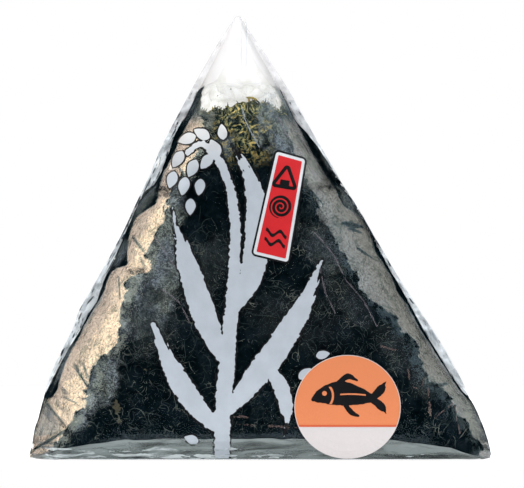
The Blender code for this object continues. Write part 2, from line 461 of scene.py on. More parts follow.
# painted shade: dark creases cut into the bands' reflection: x and z of both ends, half width
DARK_CREASES = (
    (-46.4, 12.7, -41.5, 7.4, 0.30), (-41.3, 6.6, -48.6, 1.9, 0.35), (-39.6, 20.2, -36.8, 16.0, 0.32),
    (-37.6, 20.6, -36.6, 17.6, 0.25), (-42.2, 13.6, -39.0, 12.2, 0.18), (-17.8, 63.6, -16.3, 60.6, 0.22),
    (-30.2, 39.2, -29.8, 34.4, 0.18), (-27.2, 47.6, -24.4, 44.2, 0.30), (-25.6, 43.4, -24.4, 40.8, 0.22),
    (17.6, 50.6, 21.8, 49.8, 0.55), (19.0, 49.4, 21.6, 48.6, 0.30), (36.2, 16.2, 38.6, 16.0, 0.50),
    (37.6, 15.6, 39.8, 16.4, 0.35), (20.8, 45.2, 24.2, 43.0, 0.25), (10.6, 57.8, 13.4, 54.6, 0.22),
)
# milky clouds on the front, a painted haze for the grey light mirrored in loose film: middle, half width and
# height, lean, how milky
CLOUDS = (
    (3.0, 71.0, 4.0, 6.2, -0.15, 0.46), (7.0, 69.4, 2.2, 5.2, -0.30, 0.20),
    (-7.8, 67.2, 2.6, 3.2, 0.0, 0.16), (9.6, 62.5, 3.6, 5.0, -0.4, 0.30),
    (13.2, 45.0, 4.4, 7.0, -0.6, 0.11), (18.6, 34.0, 4.6, 7.0, -0.6, 0.07),
    (-22.0, 27.0, 5.0, 5.0, 0.5, 0.07), (-12.0, 40.0, 5.0, 9.0, 0.3, 0.05),
    (8.0, 30.0, 12.0, 7.0, 0.0, 0.03), (29.0, 23.0, 4.0, 7.0, -0.6, 0.05),
    (34.5, 17.0, 2.8, 3.8, 0.0, 0.07), (-25.0, 55.5, 2.2, 5.0, 0.5, 0.22),
    (19.5, 55.0, 2.2, 5.0, -0.55, 0.20), (-30.2, 44.0, 1.7, 3.4, 0.5, 0.26),
    (15.6, 63.0, 1.6, 5.0, -0.58, 0.24), (-42.4, 20.0, 1.2, 6.0, 0.45, 0.24),
    (-35.4, 35.0, 1.1, 3.0, 0.5, 0.20),
)
# how far in the left's painted haze reaches, and how milky it is along the height
left_cloud_inner = smooth_curve(
    (3, -42), (6.5, -38), (9.3, -35.5), (11.4, -33), (13.6, -30.5), (17, -29.6), (22, -29.5), (24.5, -29.2),
    (26, -25), (28, -21), (31, -18.8), (35, -17.6), (40, -16.2), (44, -15.6), (48, -17.4), (52, -16.2),
    (57, -15.4), (62, -13.4), (70, -11),
)
left_cloud_share = smooth_curve(
    (3, 0.15), (10, 0.30), (20, 0.31), (27, 0.20), (33, 0.32), (55, 0.37), (68, 0.28)
)
# the faceted corner between the left band and its ear, where the painted sheen is dimmed and painted haze is
# added
EAR_FACET = [(-47.8, 8.2), (-48.6, 4.2), (-41.4, 6.7), (-46.6, 12.9)]
speckle = Noise(91)
# shares of the painted sheen: its mottled painted reflection beside the bands, plain film, and the painted
# dark zones
HAZE, PLAIN, CLINGING = 0.30, 0.2, 0.02
BACK_SHEEN = 0.14


def bands(x, z):
    """How far points are inside the glossy bands' ragged borders, and past them towards the middle."""
    ragged = speckle.layered(x / 1.3, 5.0, z / 1.5, 3, 0.7)
    left = np.minimum(x - left_band_outer(z) + 0.12 * ragged, left_band_inner(z) - x + 0.6 * ragged)
    right = np.minimum(right_band_outer(z) - x + 0.15 * ragged, x - right_band_inner(z) + 0.5 * ragged)
    past = np.minimum(x - left_band_inner(z), right_band_inner(z) - x)
    return np.maximum(left, right), past, ragged


def painted_sheen(x, z):
    """How much the front mirrors, as a painted mask: 1 in the bands that show the cards' light, near 0 in
    the painted dark zones beside them.
    """
    inside, past, ragged = bands(x, z)
    fine = speckle.layered(x / 0.6, 15.0, z / 0.7, 2, 0.6)
    crisp = step_between(-0.14, 0.14, inside)
    mottled = step_between(-0.35, 0.6, ragged + 0.7 * fine + 0.2)
    mottled = mottled * step_between(0.0, 0.3, past) * (1.0 - step_between(0.5, 6.5, past))
    shine = np.maximum(crisp, np.maximum(HAZE * mottled, CLINGING * step_between(-1.0, 0.0, past)))
    for x1, z1, x2, z2, width in DARK_CREASES:
        distance, t = segment_distance(x, z, x1, z1, x2, z2)
        taper = width * (1.15 - 0.9 * np.abs(t - 0.4))
        shine = shine * (1.0 - 0.7 * step_between(1.3 * taper, 0.5 * taper, distance + 0.25 * fine * width))
    facet = polygon_field(x, z, EAR_FACET) + 0.3 * ragged
    shine = shine * (1.0 - 0.3 * step_between(-0.2, 0.3, facet))
    # far from the bands, in the welds and over the bare rice it is as glossy as anywhere
    welded = (x < left_edge(z) + left_welded(z)) | (x > right_edge(z) - right_welded(z))
    shine = np.maximum(shine, PLAIN * step_between(7.0, 12.0, past))
    return np.where(welded, PLAIN, shine + (PLAIN - shine) * step_between(70.0, 76.0, z))


def haze(x, z):
    """Painted haze: how milky the front looks where it lies loosely on the seaweed, for the grey light
    mirrored there; below 0 where it clears the fog.
    """
    inside, past, ragged = bands(x, z)
    blotchy = step_between(-0.9, 0.5, speckle.layered(x / 2.4, 55.0, z / 3.2, 3, 0.6))
    reach = left_cloud_inner(z) - x + 0.7 * ragged
    milky = left_cloud_share(z) * step_between(-0.3, 0.9, reach) * step_between(-0.3, 0.2, past) * (x < 0)
    milky = milky * (0.35 + 0.8 * blotchy) * (1.0 - step_between(66.0, 70.0, z))
    for cx, cz, wide, tall, lean, share in CLOUDS:
        across = (x - cx - lean * (z - cz)) / wide
        spread = np.sqrt(across**2 + ((z - cz) / tall) ** 2) + 0.25 * ragged
        milky = np.maximum(milky, share * step_between(1.15, 0.55, spread) * (0.45 + 0.7 * blotchy))
    # the ears' film is doubled; the milky haze on it is painted, for the light it mirrors
    facet = 0.30 * step_between(-0.2, 0.4, polygon_field(x, z, EAR_FACET) + 0.3 * ragged)
    right_ear = 0.50 * step_between(-0.2, 0.3, inside) * step_between(21.0, 10.0, z)
    milky = np.maximum(milky, np.where(x < 0, facet, right_ear) * (0.7 + 0.5 * blotchy))
    # the sheet's left tongue shows through beside the rice, and the right one hides in milky film
    root = np.minimum(x - left_edge(z) - left_seam(z), right_edge(z) - right_seam(z) - x)
    tongue = step_between(0.9, 0.3, np.abs(root - 0.45) + 0.25 * ragged)
    cleared = np.where(x < 0, -0.4, 0.45) * tongue
    return milky + cleared * step_between(74.0, 76.0, z) * step_between(83.0, 80.5, z)


def mark_sheen(film):
    """Stores the front's painted sheen and painted haze with the film's points, for its material."""
    spots = np.empty(len(film.data.vertices) * 3)
    film.data.vertices.foreach_get("co", spots)
    x, y, z = spots.reshape(-1, 3).T / MM
    stored = {"painted_sheen": np.where(y < 0, painted_sheen(x, z), BACK_SHEEN), "haze": np.where(y < 0, haze(x, z), 0.0)}
    for name, values in stored.items():
        film.data.attributes.new(name, "FLOAT", "POINT").data.foreach_set("value", values)


# ---------------------------------------------------------------- the film's mesh

FILM_ROWS = {FRONT: 320, BACK: 130}
FILM_COLUMNS = {FRONT: (11, 66, 94), BACK: (7, 32, 52)}  # on the seam, on the bevel and between
BASE_ROWS = 12


def film_columns(z, seam_columns, bevel_columns, face_columns):
    """Where each column of the film's grid stands at the heights z: fine on seams and bevels."""
    width = right_edge(z) - left_edge(z)
    most = 0.3 * width
    stops = [left_edge(z)]
    stops.append(stops[0] + np.minimum(left_seam(z), most / 3))
    stops.append(stops[1] + np.minimum(left_bevel(z), most))
    right_stops = [right_edge(z)]
    right_stops.append(right_stops[0] - np.minimum(right_seam(z), most / 3))
    right_stops.append(right_stops[1] - np.minimum(right_bevel(z), most))
    stops += right_stops[::-1]
    counts = (seam_columns, bevel_columns, face_columns, bevel_columns, seam_columns)
    blocks = []
    for start, end, count in zip(stops, stops[1:], counts):
        share = np.arange(count) / count
        blocks.append(start[:, None] + (end - start)[:, None] * share[None, :])
    blocks.append(stops[-1][:, None])
    return np.concatenate(blocks, axis=1)


def film_sheet(side):
    """The front or back of the film, as a grid of points."""
    v = np.linspace(0.0, 1.0, FILM_ROWS[side])
    z = HEIGHT * (v - 0.03 * np.sin(2 * math.pi * v))
    x = film_columns(z, *FILM_COLUMNS[side])
    z = np.broadcast_to(z[:, None], x.shape)
    points = np.stack([x, side * film_depth(x, z), z], axis=-1)
    normals = grid_normals(points) * (1.0 if side == FRONT else -1.0)
    ends = step_between(0.0, 1.2, z) * step_between(0.0, 1.5, HEIGHT - z)
    points = points + normals * (film_relief(x, z, side) * ends)[..., None]
    points[..., 1] -= seam_wave(x, z) * ends
    points[..., 2] = np.clip(points[..., 2], 0.0, HEIGHT)
    return points


def film_base(front_row, back_row):
    """Rows across the base, which is drawn in a little above the floor."""
    share = np.linspace(0.0, 1.0, len(front_row))
    far = np.linspace(0.0, 1.0, len(back_row))
    behind = np.stack([np.interp(share, far, back_row[:, axis]) for axis in range(3)], axis=-1)
    rows = []
    for k in range(1, BASE_ROWS):
        t = k / BASE_ROWS
        row = front_row * (1 - t) + behind * t
        lift = 0.35 * np.abs(crinkle(row[:, 0] / 6.0, 50.0, row[:, 1] / 4.0)) * math.sin(math.pi * t) ** 0.5
        row[:, 2] = lift * np.clip((50.0 - np.abs(row[:, 0])) / 8.0, 0.0, 1.0)
        rows.append(row)
    return rows


def stitch(near, far):
    """Triangles between two rows of points that may differ in number."""
    faces = []
    i = j = 0
    last_i, last_j = len(near) - 1, len(far) - 1
    while i < last_i or j < last_j:
        if j == last_j or (i < last_i and (i + 1) * last_j <= (j + 1) * last_i):
            faces.append((near[i], near[i + 1], far[j]))
            i += 1
        else:
            faces.append((near[i], far[j + 1], far[j]))
            j += 1
    return faces


def make_film(material):
    front, back = film_sheet(FRONT), film_sheet(BACK)
    (rows, columns), (back_rows, back_columns) = front.shape[:2], back.shape[:2]
    back_first = rows * columns
    base_first = back_first + back_rows * back_columns
    base = film_base(front[0], back[0])
    points = np.concatenate([front.reshape(-1, 3), back.reshape(-1, 3), np.concatenate(base)])
    quads = [grid_faces(rows, columns), grid_faces(back_rows, back_columns, back_first, flip=True)]
    quads.append(grid_faces(len(base), columns, base_first))
    faces = [tuple(f) for f in np.concatenate(quads)]
    front_at = np.arange(rows * columns).reshape(rows, columns)
    back_at = back_first + np.arange(back_rows * back_columns).reshape(back_rows, back_columns)
    faces += stitch(front_at[0], base_first + np.arange(columns))
    faces += stitch(base_first + (len(base) - 1) * columns + np.arange(columns), back_at[0])
    faces += stitch(front_at[-1], back_at[-1])
    for edge in (0, -1):  # close the seams along the outline
        faces += stitch(front_at[:, edge], back_at[:, edge])
    film = add_piece("outer_film", points, faces, material)
    tidy_mesh(film)
    mark_sheen(film)
    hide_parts("film_pack")
    return film


def tidy_mesh(obj):
    """Weld points that meet, drop faces without area and point all normals outwards."""
    bm = bmesh.new()
    bm.from_mesh(obj.data)
    bmesh.ops.remove_doubles(bm, verts=bm.verts, dist=0.01 * MM)
    bmesh.ops.dissolve_degenerate(bm, dist=0.0001 * MM, edges=bm.edges)
    bmesh.ops.recalc_face_normals(bm, faces=bm.faces)
    bm.to_mesh(obj.data)
    bm.free()
    obj.data.shade_smooth()


# ---------------------------------------------------------------- materials


class Nodes:
    """Short ways to add shading nodes to a material or the world."""

    def __init__(self, owner):
        owner.use_nodes = True
        self.nodes = owner.node_tree.nodes
        self.links = owner.node_tree.links

    def feed(self, socket, value):
        """Links a socket to another node's output, or sets its value."""
        if isinstance(value, bpy.types.NodeSocket):
            self.links.new(value, socket)
        elif socket.type == "RGBA" and isinstance(value, tuple):
            socket.default_value = (*value, 1.0)
        else:
            socket.default_value = value

    def add(self, kind, inputs=(), **options):
        """A node of a kind; inputs go by the sockets' names or numbers."""
        node = self.nodes.new("ShaderNode" + kind)
        for name, value in options.items():
            setattr(node, name, value)
        for key, value in dict(inputs).items():
            self.feed(node.inputs[key], value)
        return node

    def math(self, operation, *values):
        return self.add("Math", enumerate(values), operation=operation).outputs[0]

    def ramp(self, factor, *stops):
        node = self.add("ValToRGB", {"Fac": factor})
        elements = node.color_ramp.elements
        while len(elements) < len(stops):
            elements.new(0.5)
        for element, (position, color) in zip(elements, stops):
            element.position = position
            element.color = (*color, 1.0) if isinstance(color, tuple) else (color, color, color, 1.0)
        return node.outputs["Color"]

    def blend(self, factor, first, second, kind="MIX"):
        inputs = {0: factor, 6: first, 7: second}
        return self.add("Mix", inputs, data_type="RGBA", blend_type=kind).outputs[2]

    def mix(self, share, first, second):
        """Two shader nodes mixed; the share is the second's."""
        return self.add("MixShader", {0: share, 1: first.outputs[0], 2: second.outputs[0]})

    def remap(self, source, low, high, to_low=0.0, to_high=1.0, kind="LINEAR"):
        inputs = {"Value": source, "From Min": low, "From Max": high, "To Min": to_low, "To Max": to_high}
        return self.add("MapRange", inputs, interpolation_type=kind).outputs[0]

    def rise(self, source, low, high):
        """0 while the source is at low or past it, and 1 from high on, easing in and out."""
        return self.remap(source, low, high, kind="SMOOTHSTEP")


class Look(Nodes):
    """A new material, seen from its Principled shader."""

    def __init__(self, name):
        self.material = bpy.data.materials.new(name)
        super().__init__(self.material)
        self.shader = self.nodes["Principled BSDF"]
        self.place = self.add("TexCoord").outputs["Object"]

    def set(self, **values):
        for name, value in values.items():
            self.feed(self.shader.inputs[name.replace("_", " ")], value)

    def axis(self, name):
        """The object's coordinate along an axis, in metres."""
        return self.add("SeparateXYZ", {0: self.place}).outputs[name]

    def stored(self, name):
        """A value that is stored with the mesh's points."""
        return self.add("Attribute", attribute_name=name).outputs["Fac"]

    def noise(self, scale, detail=3.0, roughness=0.55, distortion=0.0, stretch=1.0, slant=0.0):
        """Noise, stretched along a direction given in degrees from +X towards +Z."""
        where = self.place
        if stretch != 1.0:
            turn = (0.0, -math.radians(slant), 0.0)
            inputs = {"Rotation": turn, "Scale": (stretch, 1.0, 1.0), "Vector": self.place}
            where = self.add("Mapping", inputs, vector_type="TEXTURE").outputs[0]
        inputs = {"Vector": where, "Scale": scale, "Detail": detail}
        return self.add(
            "TexNoise", {**inputs, "Roughness": roughness, "Distortion": distortion}
        ).outputs["Fac"]

    def bump(self, height, distance, strength=1.0, shader=None):
        node = self.add("Bump", {"Strength": strength, "Distance": distance, "Height": height})
        self.feed((shader or self.shader).inputs["Normal"], node.outputs[0])


WHITE = (1.0, 1.0, 1.0)


def add_fog(look, clear, rising, fog):
    """The clear film made milky over the bare rice and above it, and greyish where its stored painted haze
    stands in for mirrored light.
    """
    flecks = look.ramp(look.noise(1500.0, 5.0, 0.72, distortion=1.2), (0.40, 0.4), (0.5, 0.95), (0.6, 1.9))
    painted_haze_share = look.math("MINIMUM", look.math("MULTIPLY", look.stored("haze"), flecks), 0.6)
    painted_haze_hue = look.ramp(look.noise(170.0), (0.42, (0.37, 0.43, 0.40)), (0.6, (0.34, 0.41, 0.47)))
    white = look.blend(rising, painted_haze_hue, (0.89, 0.89, 0.905))
    milk = look.mix(0.3, look.add("BsdfDiffuse", {0: white}), look.add("BsdfTranslucent", {0: white}))
    return look.mix(look.math("ADD", look.math("MULTIPLY", rising, fog), painted_haze_share), clear, milk)


def film_material(name, tint, mirror=0.35, rough=0.05, veil=None, streaks=None, fog=None):
    """Thin clear film: it mirrors more at a slant, alike on both sides, and is clear between.

    veil is a (share, colour) of milky film; streaks are a (direction, darkest tint, fineness) of crimps,
    whose dark and pale lines are painted shade and highlights; fog is how milky the film is over the
    bare rice. Film with fog has its painted sheen and painted haze stored.
    """
    look = Look(name)
    look.nodes.remove(look.shader)
    clear = look.add("BsdfTransparent", {"Color": tint})
    gloss = look.add("BsdfGlossy", {"Roughness": rough})
    facing = look.add("LayerWeight", {"Blend": 0.5}).outputs["Facing"]
    share = look.math("MULTIPLY_ADD", look.math("POWER", facing, 7.0), 1.0 - mirror, mirror)
    # painted reflection marks: the mirrored light is broken by fine dark dashes and greenish patches
    dashes = look.noise(2500.0, 4.0, 0.66, distortion=0.9)
    fine = look.ramp(dashes, (0.40, (0.47, 0.47, 0.47)), (0.48, (0.82, 0.79, 0.76)), (0.58, WHITE))
    patches = look.noise(300.0, 5.0, 0.7, distortion=0.5)
    broad = look.ramp(patches, (0.38, (0.56, 0.61, 0.60)), (0.47, (0.92, 0.92, 0.92)), (0.6, WHITE))
    painted_reflection_marks = look.blend(1.0, fine, broad, "MULTIPLY")
    under = clear
    if veil:
        under = look.mix(veil[0], clear, look.add("BsdfDiffuse", {"Color": veil[1]}))
    if streaks:
        # the streaks' dark and pale lines are painted shade and highlights of the film's crinkles
        direction, dark, fineness = streaks
        crimps = look.noise(fineness, 4.0, 0.7, 0.4, 5.0, direction)
        shade = look.ramp(crimps, (0.42, dark), (0.48, tuple(t * 0.8 for t in tint)), (0.56, tint))
        look.feed(clear.inputs["Color"], shade)
        pale = look.noise(0.75 * fineness, 4.0, 0.65, 0.3, 6.0, direction)
        shares = look.ramp(pale, (0.36, 0.45 * veil[0]), (0.58, min(1.0, veil[0] * 2.2)))
        look.feed(under.inputs["Fac"], shares)
    if fog:
        # the stored painted sheen sets where it mirrors, and the reflection gets a painted blue-green tint
        # where that is low
        sheen_here = look.stored("painted_sheen")
        painted_reflection_tint = look.ramp(sheen_here, (0.4, (0.62, 0.84, 1.0)), (0.85, WHITE))
        painted_reflection_marks = look.blend(1.0, painted_reflection_marks, painted_reflection_tint, "MULTIPLY")
        rising = look.rise(look.axis("Z"), 0.0745, 0.0835)
        under = add_fog(look, clear, rising, fog)
        share = look.math("MULTIPLY", share, sheen_here)
        share = look.math("MULTIPLY", share, look.math("MULTIPLY_ADD", rising, -0.85, 1.0))
    look.feed(gloss.inputs["Color"], painted_reflection_marks)
    grain = look.math("MULTIPLY_ADD", look.noise(430.0, 3.0, 0.6), 0.9, look.noise(1300.0, 4.0, 0.7))
    look.bump(grain, 0.00012, 1.0, gloss)
    surface = look.nodes["Material Output"].inputs["Surface"]
    look.feed(surface, look.mix(share, under, gloss).outputs[0])
    return look.material


def seaweed_material():
    look = Look("seaweed")
    pulp = look.noise(520.0, 6.0, 0.75, distortion=0.6)
    deepest, usual, palest = (0.0004, 0.0014, 0.0022), (0.0016, 0.0052, 0.0070), (0.011, 0.018, 0.020)
    base = look.ramp(pulp, (0.36, deepest), (0.55, usual), (0.8, palest))
    specks = look.noise(1700.0, 3.0, 0.6)
    faded = look.ramp(specks, (0.42, (0.003, 0.008, 0.012)), (0.72, (0.014, 0.025, 0.031)))
    patch = look.ramp(look.noise(120.0, 4.0, 0.6), (0.47, 0.0), (0.66, 0.8))
    color = look.blend(patch, base, faded)
    # painted light shining through the sheet where it thins towards the front's top edge
    beside = look.math("ABSOLUTE", look.math("ADD", look.axis("X"), 0.0035))
    thin = look.ramp(look.noise(420.0, 5.0, 0.75, 0.8), (0.44, 0.25), (0.54, 1.0))
    for source, low, high in (
        (look.axis("Z"), 0.061, 0.071), (beside, 0.0078, 0.0042), (look.axis("Y"), 0.002, -0.002),
    ):
        thin = look.math("MULTIPLY", thin, look.rise(source, low, high))
    glow = look.ramp(
        look.noise(520.0, 4.0, 0.68, 2.6),
        (0.46, (0.004, 0.010, 0.010)), (0.50, (0.085, 0.12, 0.09)),
        (0.54, (0.33, 0.35, 0.17)), (0.60, (0.80, 0.60, 0.20)),
    )
    color = look.blend(look.math("MULTIPLY", thin, 0.95), color, glow)
    look.set(Base_Color=color, Roughness=0.6, Specular_IOR_Level=0.0)
    look.bump(pulp, 0.0003, 0.7)
    return look.material


def toned_material(name, grain, stops, tooth, tooth_depth, **settings):
    """A material whose colour follows noise, with a fine tooth; grain and tooth are noise settings."""
    look = Look(name)
    look.set(Base_Color=look.ramp(look.noise(*grain), *stops), **settings)
    look.bump(look.noise(*tooth), tooth_depth)
    return look.material


def fibre_material():
    stops = (0.38, (0.011, 0.020, 0.022)), (0.54, (0.042, 0.058, 0.060)), (0.68, (0.19, 0.21, 0.18))
    settings = {"Roughness": 0.5, "Specular_IOR_Level": 0.2}
    return toned_material("seaweed_fibre", (260.0, 2.0), stops, (3000.0, 2.0), 0.00003, **settings)


def fringe_material():
    stops = (
        (0.44, (0.008, 0.012, 0.008)), (0.52, (0.06, 0.07, 0.02)),
        (0.60, (0.32, 0.28, 0.05)), (0.68, (0.55, 0.34, 0.07)),
    )
    settings = {"Roughness": 0.5, "Specular_IOR_Level": 0.2}
    return toned_material("seaweed_fringe", (900.0, 3.0, 0.6), stops, (2500.0, 2.0), 0.00003, **settings)


def rice_material():
    stops = (0.3, (0.95, 0.945, 0.915)), (0.7, (0.985, 0.98, 0.955))
    settings = {"Roughness": 0.42, "Specular_IOR_Level": 0.3}
    settings |= {"Subsurface_Weight": 0.7, "Subsurface_Radius": (1.0, 0.95, 0.88), "Subsurface_Scale": 0.003}
    # the rice glows faintly: painted light that brightens it beyond what reaches it through the film
    settings |= {"Emission_Color": (1.0, 0.985, 0.94), "Emission_Strength": 0.13}
    return toned_material("rice", (300.0,), stops, (1400.0, 2.0), 0.00004, **settings)


def paper_material(name, color, rough=0.5):
    """Coated label paper with a faint tooth."""
    fibres = (2600.0, 4.0, 0.6)
    stops = (0.3, tuple(c * 0.965 for c in color)), (0.7, color)
    settings = {"Roughness": rough, "Specular_IOR_Level": 0.25}
    return toned_material(name, fibres, stops, fibres, 0.00002, **settings)


def ink_material(name, color, rough, variation, over_rice=None):
    """Printed ink: it clouds a little, as on crinkled film, and may have a colour over the bare rice."""
    look = Look(name)
    darker = tuple(c * (1.0 - variation) for c in color)
    lighter = tuple(min(1.0, c * (1.0 + variation)) for c in color)
    tone = look.ramp(look.noise(240.0, 4.0, 0.6), (0.35, darker), (0.65, lighter))
    if over_rice:
        tone = look.blend(look.rise(look.axis("Z"), 0.060, 0.074), tone, over_rice)
    look.set(Base_Color=tone, Roughness=rough, Specular_IOR_Level=0.15)
    look.bump(look.noise(1800.0, 2.0), 0.00003)
    return look.material


# ---------------------------------------------------------------- what the film holds

front_top = smooth_curve(
    (-20, 76.4), (-14.0, 75.8), (-12.5, 74.6), (-8, 74.8), (-5, 76.2), (-1, 76.4), (2, 75.6), (4, 74.3),
    (7, 73.2), (20, 73.0),
)
BALL_TOP = 83.6
BALL_ROUND = 3.0


def ball_ring(z, turn, inset, depth_loss, closes=True):
    """A point on the wrapped ball at a height; turn runs round it. It closes over its top."""
    closing = 1.0
    if closes:
        over = np.clip((z - (BALL_TOP - BALL_ROUND)) / BALL_ROUND, 0, 1)
        closing = np.sqrt(1.0 - over**2)
    xl = left_edge(z) + left_seam(z) + inset
    xr = right_edge(z) - right_seam(z) - inset
    middle, half = (xl + xr) / 2, (xr - xl) / 2
    power = 2.0 / 3.2
    c, s = np.cos(turn), np.sin(turn)
    x = middle + half * closing**0.35 * np.sign(c) * np.abs(c) ** power
    limit = film_depth(x, z) - depth_loss
    wanted = np.abs(s) ** power * (half_depth(z) - depth_loss) * closing**0.5
    y = np.sign(s) * np.minimum(wanted, np.maximum(limit, 0.02))
    return np.stack([x, y, z], axis=-1)


def keep_inside(points, film_tree, gap):
    """Moves points that are nearer to the film than the gap, or outside it, inwards."""
    for k, point in enumerate(points):
        spot, normal, _, _ = film_tree.find_nearest(Vector(point) * MM)
        spot, normal = np.array(spot) / MM, np.array(normal)
        if np.dot(point - spot, normal) > -gap:
            points[k] = spot - normal * gap
    return points


def make_seaweed(material, film_tree):
    """The sheet round the ball: it ends in a torn edge below the rice at front and back."""
    rows, columns = 150, 420
    turn = np.linspace(0, math.tau, columns, endpoint=False)
    torn = Noise(31).layered(9.0 * np.cos(turn), 9.0 * np.sin(turn), 0.5, 5, 0.65)
    foot = ball_ring(np.full(columns, 75.0), turn, 0.0, 0.5, closes=False)
    at_side = 1.0 - step_between(2.0, 10.5, np.abs(foot[:, 1]))
    top = front_top(foot[:, 0]) * (1 - at_side) + 81.0 * at_side + (0.5 + 0.5 * at_side) * torn
    z = np.linspace(0, 1, rows)[:, None] * top[None, :]
    turns = np.broadcast_to(turn[None, :], z.shape)
    points = ball_ring(z, turns, 0.0, 0.55, closes=False).reshape(-1, 3)
    points = keep_inside(points, film_tree, 0.2)
    faces = [*ring_faces(rows, columns), caps(rows, columns)[0]]
    return add_piece("seaweed_sheet", points, faces, material), points[-columns:]


def strand(spine, width, sides=4):
    """A thin closed tube round a line of points, tapering at both ends."""
    spine = np.array(spine, float)
    way = unit(np.gradient(spine, axis=0))
    aside = unit(np.stack([-way[:, 2], np.zeros(len(way)), way[:, 0]], axis=-1))
    out = np.cross(way, aside)
    size = width * np.sin(np.linspace(0.35, math.pi - 0.25, len(spine)))[:, None]
    turns = [math.tau * k / sides for k in range(sides)]
    rings = [spine + size * (math.cos(t) * aside + 0.5 * math.sin(t) * out) for t in turns]
    faces = [*ring_faces(len(spine), sides), *caps(len(spine), sides)]
    return np.stack(rings, axis=1).reshape(-1, 3), faces


# a loose strand that crosses the rice: x and z of its points
STRAY = ((-3.0, 77.4), (-2.4, 77.3), (-1.7, 77.3), (-1.0, 77.0), (-0.4, 76.4), (0.1, 76.1))
# crumbs on the rice: x, z and half length
CRUMBS = ((3.2, 77.4, 0.3), (5.6, 76.6, 0.2), (-9.6, 78.0, 0.22), (-6.2, 79.2, 0.16), (6.4, 79.4, 0.18))


def make_fringe(material, top_edge, film_tree):
    """Loose strands at the sheet's torn top edge, and a few crumbs of it on the rice."""
    rng = np.random.default_rng(17)
    fringe = Joined()
    at_front = top_edge[top_edge[:, 1] < -6.0]
    at_back = top_edge[top_edge[:, 1] > 6.0]
    for edge, count in ((at_front, 170), (at_back, 90)):
        for _ in range(count):
            point = edge[rng.integers(len(edge))]
            point = point + np.array([rng.normal(0.0, 0.1), 0.0, -rng.uniform(0.1, 0.7)])
            heading = math.radians(rng.normal(90.0, 55.0))
            step = rng.uniform(0.10, 0.30)
            bend = rng.normal(0.0, 0.25)
            spine = []
            for _ in range(6):
                spine.append(point)
                heading += bend
                point = point + step * np.array([math.cos(heading), 0.0, math.sin(heading)])
            fringe.add(*strand(spine, rng.uniform(0.05, 0.16)))
    front = at_front[:, 1].min() + 0.2
    fringe.add(*strand([(x, front, z) for x, z in STRAY], 0.24))
    for x, z, long in CRUMBS:
        spine = [(x + long * t, front + 0.1, z + 0.5 * long * t) for t in (-1, -0.3, 0.4, 1)]
        fringe.add(*strand(spine, 0.16))
    points = keep_inside(fringe.points(), film_tree, 0.06)
    return add_piece("seaweed_fringe", points, fringe.faces, material)


# paler spots: middle, half width and half height
SHEET_SPOTS = ((-30.6, 11.4, 0.9, 1.3), (-30.0, 8.6, 0.6, 0.7), (-24.4, 19.4, 0.9, 0.5))


def make_flakes(material, seaweed):
    """Paler spots in the pressed sheet."""
    tree = surface_tree(seaweed)

    def spots(x, z):
        found = np.full(x.shape, OUTSIDE)
        for cx, cz, wide, tall in SHEET_SPOTS:
            away = np.hypot((x - cx) / wide, (z - cz) / tall)
            found = np.maximum(found, (1.0 - away) * min(wide, tall))
        return found - 0.15 + 0.42 * speckle.layered(x / 0.6, 45.0, z / 0.6, 3, 0.75)

    for number, (cx, cz, _, _) in enumerate(SHEET_SPOTS):
        box = (cx - 2.2, cx + 2.2, cz - 2.2, cz + 2.2)
        lay_patch(f"seaweed_flake_{number}", tree, spots, box, 0.12, 0.05, material)


CORE_FOOT = 58.0  # the rice below this height is hidden and isn't made


def make_rice_core(material):
    rows, columns = 70, 160
    turn = np.linspace(0, math.tau, columns, endpoint=False)
    rise = np.sin(np.linspace(0, 1, rows) * math.pi / 2)
    z, turn = np.meshgrid(CORE_FOOT + (BALL_TOP - 0.8 - CORE_FOOT) * rise, turn, indexing="ij")
    points = ball_ring(z, turn, 0.8, 1.35)
    faces = [*ring_faces(rows, columns), *caps(rows, columns)]
    return add_piece("rice_core", points.reshape(-1, 3), faces, material)


def grain_shape():
    """One grain of cooked rice as a unit form: long along X, one end a little fuller."""
    segments, rings = 10, 9
    points = [(-1.0, 0.0, 0.0)]
    for r in range(1, rings):
        a = math.pi * r / rings
        x = -math.cos(a)
        size = math.sin(a) ** 0.8 * (1.0 + 0.10 * x)
        for k in range(segments):
            t = math.tau * k / segments
            points.append((x, size * math.cos(t), size * math.sin(t) - 0.12 * (1 - x * x)))
    points.append((1.0, 0.0, 0.0))
    faces = [(0, 1 + (k + 1) % segments, 1 + k) for k in range(segments)]
    for r in range(rings - 2):
        a = 1 + r * segments
        for k in range(segments):
            after = (k + 1) % segments
            faces.append((a + k, a + after, a + segments + after, a + segments + k))
    last = len(points) - 1
    a = last - segments
    faces += [(last, a + k, a + (k + 1) % segments) for k in range(segments)]
    return np.array(points), faces


GRAIN_SPACING = 2.05  # least distance between two grains' middles


def aim_at_core(rng):
    """A random line towards the bare top of the ball, from the side or from above."""
    turn = rng.uniform(0, math.tau)
    z = rng.uniform(71.5, 84.5)
    middle = np.array([(left_edge(z) + right_edge(z)) / 2, 0.0, min(z, BALL_TOP - 3.5)])
    if rng.uniform() < 0.35:
        start = np.array([middle[0] + rng.uniform(-6, 6), rng.uniform(-10, 10), 95.0])
        return start, np.array([0.0, 0.0, -1.0])
    out = unit(np.array([math.cos(turn) * 0.7, math.sin(turn), 0.0]))
    start = middle + out * 40.0
    start[2] = min(z, BALL_TOP - 1.2)
    return start, -out


